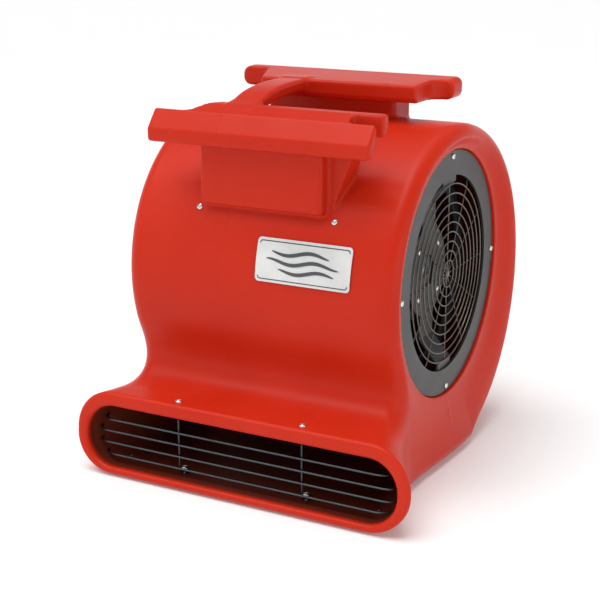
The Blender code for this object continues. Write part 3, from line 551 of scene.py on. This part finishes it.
def red_polyethylene():
    """Rotationally moulded plastic: waxy, a fine powder grain, faint flow marks and light scuffs."""
    paint = Finish("red_polyethylene", (0.53, 0.020, 0.005), 0.40)
    paint.set("Specular IOR Level", 0.15)
    cloud = paint.noise(5.0, 4.0, distortion=0.4)
    paint.tint(paint.spread(cloud, 0.38, 0.68), (0.59, 0.028, 0.009), 0.75)
    fleck = paint.noise(900.0, 2.0)
    paint.tint(paint.spread(fleck, 0.60, 0.78), (0.64, 0.050, 0.020), 0.30)
    paint.tint(paint.spread(fleck, 0.40, 0.26), (0.38, 0.010, 0.003), 0.30)
    scuff = paint.noise(26.0, 6.0, stretch=(1.0, 6.0, 14.0), distortion=1.2)
    paint.tint(paint.spread(scuff, 0.70, 0.80), (0.74, 0.13, 0.07), 0.20)
    paint.rough(paint.spread(cloud, 0.3, 0.7), 0.035)
    paint.rough(paint.spread(scuff, 0.62, 0.80), 0.05)
    # painted shade: where the 'inside' attribute is high, the colour is mixed most of the way to near black,
    # darkening the hollow's walls
    inside = paint.tree.nodes.new("ShaderNodeAttribute")
    inside.attribute_name = "inside"
    paint.tint(inside.outputs["Fac"], (0.060, 0.016, 0.008), 0.90)
    ripple = paint.noise(16.0, 2.0)
    grain = paint.noise(420.0, 3.0)
    paint.raised(ripple, 0.0011).raised(grain, 0.000035)
    off_seam = paint.maths("ABSOLUTE", paint.maths("ADD", paint.axis("X"), SEAM_X), 0.0)
    paint.raised(paint.spread(off_seam, 0.0, 0.0011, 1.0, 0.0), 0.00022)
    return paint.done()


def satin_paint(name, colour, roughness, grain=700.0, height=0.00003):
    """Powder-coated sheet: an even orange peel, some dust in it."""
    paint = Finish(name, colour, roughness)
    light = tuple(min(c * 1.6 + 0.01, 1) for c in colour)
    cloud = paint.noise(14.0, 4.0)
    paint.tint(paint.spread(cloud, 0.42, 0.70), light, 0.35)
    dust = paint.noise(120.0, 5.0)
    paint.tint(paint.spread(dust, 0.60, 0.76), (0.20, 0.19, 0.17), 0.10)
    paint.rough(paint.spread(cloud, 0.3, 0.7), 0.06)
    peel = paint.noise(grain, 2.0)
    return paint.raised(peel, height).done()


def moulded_plastic(name, colour, roughness):
    paint = Finish(name, colour, roughness)
    light = tuple(min(c * 1.5 + 0.008, 1) for c in colour)
    paint.tint(paint.spread(paint.noise(30.0, 3.0), 0.4, 0.7), light, 0.4)
    grain = paint.noise(1500.0, 2.0)
    paint.rough(paint.spread(paint.noise(60.0, 3.0), 0.3, 0.7), 0.07)
    return paint.raised(grain, 0.00002).done()


def metal(name, colour, roughness, stretch=(1.0, 1.0, 1.0), tarnish=(0.35, 0.33, 0.30), grain=260.0):
    """Bare or plated metal, brushed along the axis whose stretch is smallest."""
    paint = Finish(name, colour, roughness, 1.0)
    brushed = paint.noise(grain, 4.0, stretch=stretch)
    paint.tint(paint.spread(brushed, 0.35, 0.70), tuple(c * 0.82 for c in colour), 0.5)
    stain = paint.noise(45.0, 5.0, distortion=0.8)
    paint.tint(paint.spread(stain, 0.58, 0.78), tarnish, 0.35)
    paint.rough(paint.spread(brushed, 0.3, 0.7), 0.08)
    paint.rough(paint.spread(stain, 0.5, 0.8), 0.08)
    return paint.raised(brushed, 0.00002).done()


def rubber():
    paint = Finish("black_rubber", (0.020, 0.020, 0.020), 0.85)
    dust = paint.noise(70.0, 5.0)
    paint.tint(paint.spread(dust, 0.52, 0.74), (0.16, 0.15, 0.13), 0.35)
    paint.rough(paint.spread(dust, 0.3, 0.7), 0.06)
    return paint.raised(paint.noise(1100.0, 2.0), 0.00004).done()


RED = red_polyethylene()
GREY = satin_paint("dark_grey_paint", (0.030, 0.031, 0.031), 0.46)
BLACK = moulded_plastic("black_plastic", (0.012, 0.012, 0.013), 0.45)
WIRE = metal("grey_wire", (0.17, 0.145, 0.125), 0.46, (1.0, 1.0, 1.0), (0.12, 0.09, 0.07), 420.0)
GRILLE_WIRE = metal("dark_wire", (0.075, 0.085, 0.092), 0.42, (1.0, 1.0, 1.0), (0.05, 0.04, 0.035), 420.0)
ZINC = metal("zinc_plated_steel", (0.78, 0.79, 0.80), 0.27, (1.0, 1.0, 1.0), (0.50, 0.47, 0.38), 320.0)
STEEL = metal("bare_steel", (0.50, 0.50, 0.51), 0.32, (14.0, 1.0, 1.0))
MOTOR_PAINT = satin_paint("motor_paint", (0.045, 0.046, 0.050), 0.38)
ALUMINIUM = metal("cast_aluminium", (0.56, 0.57, 0.58), 0.50, (1.0, 1.0, 1.0), (0.30, 0.30, 0.30), 180.0)
CREAM = moulded_plastic("insulating_plastic", (0.58, 0.55, 0.45), 0.45)
RUBBER = rubber()

NODE_FINISHES = {
    "intake_ring": GREY, "wiring_tray": GREY, "control_panel": GREY,
    "motor_bracket": GREY, "motor_bolt": ZINC, "foot_screw": ZINC, "foot_": RUBBER,
    "motor_stator": MOTOR_PAINT, "motor_rotor": STEEL, "motor_shaft": STEEL,
    "motor_inner_bell": MOTOR_PAINT, "motor_outer_bell": MOTOR_PAINT,
    "inner_bearing": STEEL, "outer_bearing": STEEL,
    "blower_wheel": BLACK, "wheel_hub": ALUMINIUM, "hub_set_screw": STEEL, "run_capacitor": BLACK,
    "terminal_block": CREAM, "switch_body": CREAM, "cable_gland": BLACK, "gland_nut": BLACK,
    "tray_screw": ZINC, "panel_screw": ZINC, "intake_screw": ZINC, "outlet_top_screw": ZINC,
    "outlet_bottom_bolt": ZINC, "outlet_grille": WIRE, "intake_guard": WIRE, "speed_knob": BLACK,
    "housing": RED, "label_plate": GREY,
}


def dress(made, finish):
    made.data.materials.clear()
    made.data.materials.append(finish)
    return made


for node_name, node in NODES.items():
    start = next(key for key in NODE_FINISHES if node_name.startswith(key))
    for slot in node.material_slots:
        slot.material = NODE_FINISHES[start]


# ---------------------------------------------------------------- mesh helpers
def piece(name, mesh, finish, body="casing", replaces=()):
    """A visible piece that rides on a body and stands for its CAD nodes."""
    made = bpy.data.objects.new(name, mesh)
    bpy.context.scene.collection.objects.link(made)
    return settle_piece(made, finish, body, replaces)


def settle_piece(made, finish, body="casing", replaces=()):
    dress(made, finish)
    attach(made, body)
    if replaces:
        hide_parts(*replaces)
    return made


def polar(radius, angle, x=0.0):
    """A point round the wheel's axis; angle 0 points to the rear (+Y), 90 degrees up."""
    return Vector((x, AXIS_Y + radius * math.cos(angle), AXIS_Z + radius * math.sin(angle)))


def add_tube(bm, path, radius, sides=8, closed=False):
    """A round wire along a path, with domed ends unless it is closed."""
    points = [Vector(point) for point in path]
    count = len(points)
    rings = []
    side = None
    for i, here in enumerate(points):
        before = points[i - 1] if i or closed else here
        after = points[(i + 1) % count] if i + 1 < count or closed else here
        along = (after - before).normalized()
        if side is None:
            side = along.orthogonal().normalized()
        side = (side - along * side.dot(along)).normalized()
        other = along.cross(side)
        rings.append([
            bm.verts.new(here + (side * math.cos(a) + other * math.sin(a)) * radius)
            for a in (2 * math.pi * s / sides for s in range(sides))
        ])
    pairs = list(zip(rings, rings[1:])) + ([(rings[-1], rings[0])] if closed else [])
    for near, far in pairs:
        for s in range(sides):
            bm.faces.new((near[s], near[(s + 1) % sides], far[(s + 1) % sides], far[s]))
    if not closed:
        for ring, end, inner in ((rings[0], points[0], points[1]), (rings[-1], points[-1], points[-2])):
            tip = bm.verts.new(end + (end - inner).normalized() * radius * 0.6)
            for s in range(sides):
                bm.faces.new((ring[s], ring[(s + 1) % sides], tip))


def turned_faces(bm, profile, place, direction, sides):
    """Faces of a turned shape; profile is its (radius, height) points in order along the outline."""
    turn = Vector(direction).to_track_quat("Z", "Y").to_matrix().to_4x4()
    to_world = Matrix.Translation(place) @ turn
    rings = []
    for radius, height in profile:
        if radius < 1e-6:
            rings.append([bm.verts.new(to_world @ Vector((0, 0, height)))])
            continue
        rings.append([
            bm.verts.new(to_world @ Vector((radius * math.cos(a), radius * math.sin(a), height)))
            for a in (2 * math.pi * s / sides for s in range(sides))
        ])
    for near, far in zip(rings, rings[1:]):
        for s in range(sides):
            after = (s + 1) % sides
            if len(near) == 1 and len(far) == 1:
                continue
            if len(near) == 1:
                bm.faces.new((near[0], far[s], far[after]))
            elif len(far) == 1:
                bm.faces.new((near[s], near[after], far[0]))
            else:
                bm.faces.new((near[s], near[after], far[after], far[s]))
    return rings


def finished(bm, name, crease=35):
    bmesh.ops.recalc_face_normals(bm, faces=bm.faces)
    mesh = bpy.data.meshes.new(name)
    bm.to_mesh(mesh)
    bm.free()
    mesh.shade_smooth()
    mesh.set_sharp_from_angle(angle=math.radians(crease))
    return mesh


# ---------------------------------------------------------------- pieces
def housing():
    """The moulding, with an attribute of painted shade that darkens its inside towards black."""
    margin = 0.012
    low = [c - margin for c in housing_low]
    high = [c + margin for c in housing_high]
    made, points = field_mesh("moulded_housing", housing_field, low, high, CELL, HOUSING_TRIANGLES)
    x, y, z = points.T
    behind_lip = y - MOUTH_Y - MOUTH_LEAN * (z - FLOOR_Z)
    # painted shade: high on the walls of the hollow from a few millimetres behind the lip inwards, nothing on
    # the outside
    painted_inner_shade = smooth_step((0.0040 - air_path(x, y, z)) / 0.0025) * smooth_step((behind_lip - 0.003) / 0.009)
    shade = made.data.attributes.new("inside", "FLOAT", "POINT")
    shade.data.foreach_set("value", painted_inner_shade.astype(np.float32))
    settle_piece(made, RED, replaces=("housing",))


GUARD_RINGS = 9
GUARD_SPOKES = 12
GUARD_WIRE = 0.0010
GUARD_STEP = 0.0128
GUARD_OUTER = 0.1205


def intake_guard(side_name, side):
    """Concentric wires on twelve spokes, which cross in a small welded knot and end behind the ring."""
    low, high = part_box(f"intake_guard_{side_name}")
    plane = (low.x + high.x) / 2
    edge = (high.z - low.z) / 2
    bm = bmesh.new()
    for index in range(GUARD_RINGS):
        radius = GUARD_OUTER - GUARD_STEP * index
        steps = max(28, int(radius * 700))
        circle = [polar(radius, 2 * math.pi * i / steps, plane) for i in range(steps)]
        add_tube(bm, circle, GUARD_WIRE, 8, True)
    spoke_x = plane - side * GUARD_WIRE * 1.8
    tail_x = side * (RING_BACK - 0.0016)
    for index in range(GUARD_SPOKES):
        angle = 2 * math.pi * index / GUARD_SPOKES
        path = [
            polar(0.003, angle, spoke_x), polar(edge * 0.5, angle, spoke_x),
            polar(edge - 0.006, angle, spoke_x), polar(edge - 0.001, angle, tail_x),
            polar(edge + 0.006, angle, tail_x),
        ]
        add_tube(bm, path, GUARD_WIRE * 0.9, 8)
    knot = [(0, 0.0022), (0.0035, 0.0020), (0.0052, 0.0008), (0.0054, -0.0012), (0, -0.0012)]
    turned_faces(bm, knot, polar(0, 0, plane - side * 0.0012), (side, 0, 0), 24)
    mesh = finished(bm, f"wire_guard_{side_name}")
    piece(f"wire_guard_{side_name}", mesh, WIRE, replaces=(f"intake_guard_{side_name}",))


GRILLE_WIRE_RADIUS = 0.0016
GRILLE_STEP = 0.0165


def outlet_grille():
    """Four long wires whose ends sweep back to the duct's sides, welded to two upright wires."""
    low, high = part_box("outlet_grille")
    radius = GRILLE_WIRE_RADIUS
    front = low.y + radius + 0.0002
    bottom = low.z + 0.008
    bm = bmesh.new()
    for index in range(4):
        z = bottom + GRILLE_STEP * index
        reach = 0.2205 if index in (1, 2) else 0.2115
        swept = [(0.0, 0.016), (0.003, 0.0075), (0.010, 0.0018), (0.018, 0.0)]
        path = [(-reach + along, front + back, z) for along, back in swept]
        straight = [(x, front, z) for x in np.linspace(-reach + 0.03, reach - 0.03, 9)]
        mirrored = [(-x, y, h) for x, y, h in reversed(path)]
        add_tube(bm, path + straight + mirrored, radius, 10)
    for side_name in ("left", "right"):
        bolt_low, bolt_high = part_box(f"outlet_bottom_bolt_{side_name}")
        x, bolt_y = (bolt_low.x + bolt_high.x) / 2, (bolt_low.y + bolt_high.y) / 2
        behind = front + radius * 1.7
        eye = [(x + 0.0062 * math.sin(a), bolt_y - 0.0062 * math.cos(a), low.z + 0.0012)
               for a in (math.radians(20 + 32 * i) for i in range(11))]
        upright = [
            (x, behind, high.z - 0.002), (x, behind, (low.z + high.z) / 2), (x, behind, low.z + 0.006),
            (x + 0.0006, behind + 0.002, low.z + 0.0022),
        ]
        add_tube(bm, upright + eye, radius * 0.85, 8)
    mesh = finished(bm, "grille_wires")
    piece("grille_wires", mesh, GRILLE_WIRE, replaces=("outlet_grille",))


def add_screw_head(bm, place, direction, radius, height, sides=40):
    """A pan head with a cross recess: rings of points whose height dips inside the cross."""
    turn = Vector(direction).to_track_quat("Z", "Y").to_matrix().to_4x4()
    to_world = Matrix.Translation(place) @ turn @ Matrix.Rotation(math.radians(20), 4, "Z")
    arm, reach, deep = radius * 0.13, radius * 0.56, height * 0.62

    def top(r, a):
        dome = height * math.sqrt(max(1 - (r / radius) ** 2.6 * 0.999, 0.0)) ** 0.8
        u, v = abs(r * math.cos(a)), abs(r * math.sin(a))
        arms = max(min(arm - v, reach - u), min(arm - u, reach - v))
        return dome - deep * min(max(arms / (radius * 0.06) + 0.5, 0.0), 1.0)

    shares = [0.08 * i for i in range(1, 9)] + [0.72, 0.80, 0.87, 0.93, 0.97, 0.99, 1.0]
    centre = bm.verts.new(to_world @ Vector((0, 0, top(0, 0))))
    before = None
    for share in shares:
        ring = []
        for s in range(sides):
            a = 2 * math.pi * s / sides
            r = radius * share
            ring.append(bm.verts.new(to_world @ Vector((r * math.cos(a), r * math.sin(a), top(r, a)))))
        for s in range(sides):
            after = (s + 1) % sides
            if before is None:
                bm.faces.new((centre, ring[s], ring[after]))
            else:
                bm.faces.new((before[s], before[after], ring[after], ring[s]))
        before = ring
    skirt = [bm.verts.new(to_world @ Vector((radius * math.cos(2 * math.pi * s / sides),
                                             radius * math.sin(2 * math.pi * s / sides), 0.0)))
             for s in range(sides)]
    for s in range(sides):
        after = (s + 1) % sides
        bm.faces.new((before[s], before[after], skirt[after], skirt[s]))
    bm.faces.new(skirt)


def add_shank(bm, place, direction, radius, length):
    """A threaded shank: a turned profile of small ridges."""
    pitch = 0.0012
    profile = [(0, 0.0), (radius, 0.0)]
    turns = int(length / pitch) - 1
    for i in range(turns):
        profile += [(radius, -pitch * (i + 0.5)), (radius * 0.80, -pitch * (i + 1.0))]
    profile += [(radius * 0.4, -length), (0, -length)]
    turned_faces(bm, profile, place, direction, 14)


def pan_screw(node_name, direction, head_radius, head_height):
    """The screw of a CAD node: the head's seat is found from the node's box along its direction."""
    direction = Vector(direction).normalized()
    points = [v.co.copy() for v in NODES[node_name].data.vertices]
    reach = [p.dot(direction) for p in points]
    tip, end = max(reach), min(reach)
    middle = sum(points, Vector()) / len(points)
    seat = middle + direction * (tip - head_height - middle.dot(direction))
    length = tip - head_height - end
    bm = bmesh.new()
    add_screw_head(bm, seat, direction, head_radius, head_height)
    add_shank(bm, seat, direction, head_radius * 0.44, length)
    mesh = finished(bm, f"{node_name}_detail")
    piece(f"{node_name}_detail", mesh, ZINC, replaces=(node_name,))


def screws():
    for side_name, side in (("right", 1), ("left", -1)):
        for index in range(1, 5):
            pan_screw(f"intake_screw_{side_name}_{index}", (side, 0, 0), 0.0042, 0.0026)
        pan_screw(f"outlet_top_screw_{side_name}", (0, 0, 1), 0.0044, 0.0028)
        pan_screw(f"outlet_bottom_bolt_{side_name}", (0, 0, 1), 0.0050, 0.0040)
    for index in range(1, 5):
        low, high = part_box(f"tray_screw_{index}")
        outward = Vector((0, (low.y + high.y) / 2 - AXIS_Y, (low.z + high.z) / 2 - AXIS_Z))
        pan_screw(f"tray_screw_{index}", outward, 0.0042, 0.0026)
        pan_screw(f"motor_bolt_{index}", (1, 0, 0), 0.0046, 0.0034)
    for index in (1, 2):
        pan_screw(f"panel_screw_{index}", (0, 1, 0), 0.0028, 0.0018)


def label():
    """A plain film on the drum's front: pale, with rounded corners, a thin frame and three air streaks."""
    low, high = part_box("label_plate")
    radius = SCROLL_FRONT + 0.0016
    mid_x, half_x = (low.x + high.x) / 2, (high.x - low.x) / 2
    mid_z, half_z = (low.z + high.z) / 2, (high.z - low.z) / 2

    def on_drum(x, z, lift):
        across = -math.sqrt(max((radius + lift) ** 2 - (mid_z + z - AXIS_Z) ** 2, 0))
        return (mid_x + x, AXIS_Y + across, mid_z + z)

    def film(name, sheets, lift, finish, replaces=()):
        """Sheets on the drum, each given as rows of (x, z) points."""
        bm = bmesh.new()
        for rows in sheets:
            lines = [[bm.verts.new(on_drum(x, z, lift)) for x, z in row] for row in rows]
            for upper, lower in zip(lines, lines[1:]):
                for i in range(len(upper) - 1):
                    bm.faces.new((upper[i], upper[i + 1], lower[i + 1], lower[i]))
        bmesh.ops.remove_doubles(bm, verts=bm.verts, dist=0.00001)
        bmesh.ops.solidify(bm, geom=bm.faces[:], thickness=0.0004)
        piece(name, finished(bm, name), finish, replaces=replaces)

    def rounded_outline(inset_by, corner, steps=8):
        points = []
        for turn, (sx, sz) in enumerate(((1, 1), (-1, 1), (-1, -1), (1, -1))):
            centre = (sx * (half_x - inset_by - corner), sz * (half_z - inset_by - corner))
            for step in range(steps + 1):
                angle = math.pi / 2 * (turn + step / steps)
                points.append((centre[0] + corner * math.cos(angle), centre[1] + corner * math.sin(angle)))
        return [*points, points[0]]

    def plate(corner, columns=24):
        heights = [math.cos(math.pi * step / 40) * half_z for step in range(41)]
        rows = []
        for height in heights:
            past = max(abs(height) - (half_z - corner), 0)
            reach = half_x - corner + math.sqrt(max(corner ** 2 - past ** 2, 0))
            rows.append([(reach * (2 * i / columns - 1), height) for i in range(columns + 1)])
        return rows

    def streak(level, start, end, steps=48):
        upper, lower = [], []
        for step in range(steps + 1):
            share = step / steps
            x = start + (end - start) * share
            wave = level + 0.0028 * math.sin(x * 95 + level * 60)
            half = 0.0023 * min(1.0, math.sin(math.pi * share) ** 0.45) + 0.00005
            upper.append((x, wave + half))
            lower.append((x, wave - half))
        return [upper, lower]

    pale = satin_paint("label_film", (0.60, 0.61, 0.60), 0.30, 1200.0, 0.000004)
    ink = satin_paint("label_ink", (0.055, 0.060, 0.065), 0.34, 1200.0, 0.000004)
    marks = [[rounded_outline(0.0030, 0.0040), rounded_outline(0.0044, 0.0028)]]
    for level, start, end in ((0.011, -0.045, 0.036), (0.0, -0.052, 0.050), (-0.011, -0.034, 0.044)):
        marks.append(streak(level, start, end))
    film("label_film", [plate(0.005)], 0.0, pale, ("label_plate",))
    film("label_streaks", marks, 0.00045, ink)


def knob():
    """A fluted knob with a raised pointer, on the knob's body so that it turns."""
    low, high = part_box("speed_knob")
    centre_x = (low.x + high.x) / 2
    base, top = low.y, high.y - 0.0015
    joint = next(j for j in frame["joints"] if j["name"] == "knob_turn")
    centre_z = joint["pos_m"][2]
    bm = bmesh.new()
    profile = [(0.0, 0.0, 0), (0.0150, 0.0, 0), (0.0150, 0.0026, 0), (0.0122, 0.0036, 0), (0.0116, 0.0050, 1),
               (0.0110, 0.0115, 1), (0.0104, 0.0126, 0.4), (0.0092, 0.0130, 0), (0.0, 0.0130, 0)]
    sides = 96
    rings = []
    for radius, height, fluted in profile:
        if radius == 0:
            rings.append([bm.verts.new((centre_x, base + height, centre_z))])
            continue
        ring = []
        for s in range(sides):
            angle = 2 * math.pi * s / sides
            r = radius - 0.0006 * fluted * (0.5 + 0.5 * math.cos(angle * 16))
            across, up = r * math.cos(angle), r * math.sin(angle)
            ring.append(bm.verts.new((centre_x + across, base + height, centre_z + up)))
        rings.append(ring)
    for near, far in zip(rings, rings[1:]):
        for s in range(sides):
            after = (s + 1) % sides
            if len(near) == 1:
                bm.faces.new((near[0], far[s], far[after]))
            elif len(far) == 1:
                bm.faces.new((near[s], near[after], far[0]))
            else:
                bm.faces.new((near[s], near[after], far[after], far[s]))
    piece("fluted_knob", finished(bm, "fluted_knob", 40), BLACK, "knob", ("speed_knob",))
    bm = bmesh.new()
    bmesh.ops.create_cube(bm, size=1.0, matrix=Matrix.Translation((centre_x, top + 0.0004, centre_z + 0.0062))
                          @ Matrix.Diagonal((0.0016, 0.0012, 0.0100, 1)))
    bmesh.ops.bevel(bm, geom=bm.edges[:], offset=0.0004, segments=2, profile=0.5, affect="EDGES")
    mark = moulded_plastic("knob_pointer", (0.75, 0.75, 0.72), 0.4)
    piece("knob_pointer", finished(bm, "knob_pointer"), mark, "knob", ())


WHEEL_BLADES = 44


def blower_wheel():
    """Forward-curved blades between rolled end rings, on a dished centre disc."""
    outer, half = (wheel_high.z - wheel_low.z) / 2, (wheel_high.x - wheel_low.x) / 2
    inner = outer - 0.022
    bm = bmesh.new()
    for index in range(WHEEL_BLADES):
        start = 2 * math.pi * index / WHEEL_BLADES
        steps, thick = 6, 0.0011
        rows = []
        for step in range(steps + 1):
            share = step / steps
            radius = inner + 0.001 + (outer - inner - 0.002) * share
            angle = start - 0.16 * share ** 1.6
            rows.append([bm.verts.new(polar(radius, angle + turn / radius, x))
                         for turn, x in ((0, -half + 0.001), (0, half - 0.001),
                                         (thick, half - 0.001), (thick, -half + 0.001))])
        for near, far in zip(rows, rows[1:]):
            for s in range(4):
                bm.faces.new((near[s], near[(s + 1) % 4], far[(s + 1) % 4], far[s]))
        bm.faces.new(rows[0])
        bm.faces.new(rows[-1])
    for side in (-1, 1):
        ring = [
            (inner - 0.0005, half - 0.004), (inner, half - 0.0006), (inner + 0.002, half),
            (outer - 0.003, half), (outer, half - 0.002), (outer, half - 0.0052),
            (outer - 0.0012, half - 0.0055), (outer - 0.0014, half - 0.0030),
            (inner + 0.001, half - 0.0034), (inner - 0.0005, half - 0.004),
        ]
        turned_faces(bm, ring, polar(0, 0), (side, 0, 0), 120)
    hub = (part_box("wheel_hub")[1].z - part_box("wheel_hub")[0].z) / 2 + 0.0005
    disc = [
        (hub, -0.0015), (0.045, -0.0015), (0.050, -0.0030), (0.100, -0.0030), (0.106, -0.0012),
        (outer - 0.0014, -0.0012), (outer - 0.0014, 0.0012), (0.106, 0.0012), (0.100, -0.0006),
        (0.050, -0.0006), (0.045, 0.0015), (hub, 0.0015), (hub, -0.0015),
    ]
    turned_faces(bm, disc, polar(0, 0), (1, 0, 0), 120)
    bmesh.ops.remove_doubles(bm, verts=bm.verts, dist=0.000001)
    piece("bladed_wheel", finished(bm, "bladed_wheel"), BLACK, "rotor", ("blower_wheel",))


STATOR_FINS = 24
FIN_RADIUS = 0.0011


def stator_fins():
    """Round cooling ribs along the stator can."""
    low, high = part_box("motor_stator")
    bm = bmesh.new()
    radius = (high.z - low.z) / 2 - 0.0004
    for index in range(STATOR_FINS):
        angle = 2 * math.pi * index / STATOR_FINS
        ends = [polar(radius, angle, x) for x in (low.x + 0.004, high.x - 0.004)]
        add_tube(bm, ends, FIN_RADIUS, 8)
    piece("stator_fins", finished(bm, "stator_fins"), MOTOR_PAINT)


housing()
for name, sign in (("right", 1), ("left", -1)):
    intake_guard(name, sign)
outlet_grille()
screws()
label()
knob()
blower_wheel()
stator_fins()


# ---------------------------------------------------------------- floor, light and camera
VIEW_AZIMUTH = math.radians(27.84)
VIEW_ELEVATION = math.radians(16.4)
VIEW_DISTANCE = 1.8995
VIEW_TARGET = Vector((-0.0436, AXIS_Y, 0.1948))
LENS, SENSOR = 80.3, 36.0
HORIZON_BAND = (0.20, 0.34)  # the backdrop is white below the first height, dimmer above the second
ROOM_LIGHT = 0.30


SOFTBOXES = (  # name, place, size, power
    ("key", (-1.5, -1.7, 1.6), 1.3, 5),
    ("top", (0.1, 0.2, 2.2), 1.6, 7),
    ("side", (2.4, -0.6, 0.8), 1.5, 6),
)


def studio():
    """A pale floor, a soft backdrop, a broad overhead light and three softboxes."""
    bm = bmesh.new()
    bmesh.ops.create_grid(bm, x_segments=40, y_segments=40, size=40.0)
    floor = bpy.data.objects.new("floor", finished(bm, "floor"))
    bpy.context.scene.collection.objects.link(floor)
    paint = Finish("pale_floor", (0.90, 0.90, 0.90), 0.75)
    paint.tint(paint.spread(paint.noise(3.0), 0.4, 0.6), (0.88, 0.88, 0.88), 0.5)
    paint.set("Emission Color", (1.0, 1.0, 1.0, 1.0)).set("Emission Strength", 0.10)
    dress(floor, paint.done())

    world = bpy.data.worlds.new("studio")
    world.use_nodes = True
    nodes, links = world.node_tree.nodes, world.node_tree.links
    split = nodes.new("ShaderNodeSeparateXYZ")
    links.new(nodes.new("ShaderNodeTexCoord").outputs["Generated"], split.inputs["Vector"])
    fade = nodes.new("ShaderNodeMapRange")
    for socket, value in zip(RANGE_SOCKETS, (*HORIZON_BAND, 1.02, ROOM_LIGHT)):
        fade.inputs[socket].default_value = value
    links.new(split.outputs["Z"], fade.inputs["Value"])
    links.new(fade.outputs["Result"], nodes["Background"].inputs["Strength"])
    nodes["Background"].inputs["Color"].default_value = (1.0, 1.0, 1.0, 1.0)
    bpy.context.scene.world = world

    def lamp(name, kind, place, energy):
        light = bpy.data.lights.new(name, kind)
        light.energy = energy
        made = bpy.data.objects.new(name, light)
        bpy.context.scene.collection.objects.link(made)
        made.location = place
        made.rotation_euler = (Vector((0, 0, 0.25)) - Vector(place)).to_track_quat("-Z", "Y").to_euler()
        return light

    sky = lamp("overhead", "SUN", (-0.30, -0.55, 2.4), 2.2)
    sky.angle = math.radians(50)
    for name, place, size, energy in SOFTBOXES:
        softbox = lamp(name, "AREA", place, energy)
        softbox.shape = "SQUARE"
        softbox.size = size


def camera():
    """The photograph's point of view."""
    data = bpy.data.cameras.new("view")
    data.lens, data.sensor_width = LENS, SENSOR
    data.clip_end = 50
    made = bpy.data.objects.new("view", data)
    bpy.context.scene.collection.objects.link(made)
    forward = Vector((-math.sin(VIEW_AZIMUTH) * math.cos(VIEW_ELEVATION),
                      math.cos(VIEW_AZIMUTH) * math.cos(VIEW_ELEVATION), -math.sin(VIEW_ELEVATION)))
    made.location = VIEW_TARGET - forward * VIEW_DISTANCE
    made.rotation_euler = forward.to_track_quat("-Z", "Y").to_euler()
    bpy.context.scene.camera = made


studio()
camera()
bpy.context.scene.view_settings.view_transform = "Standard"
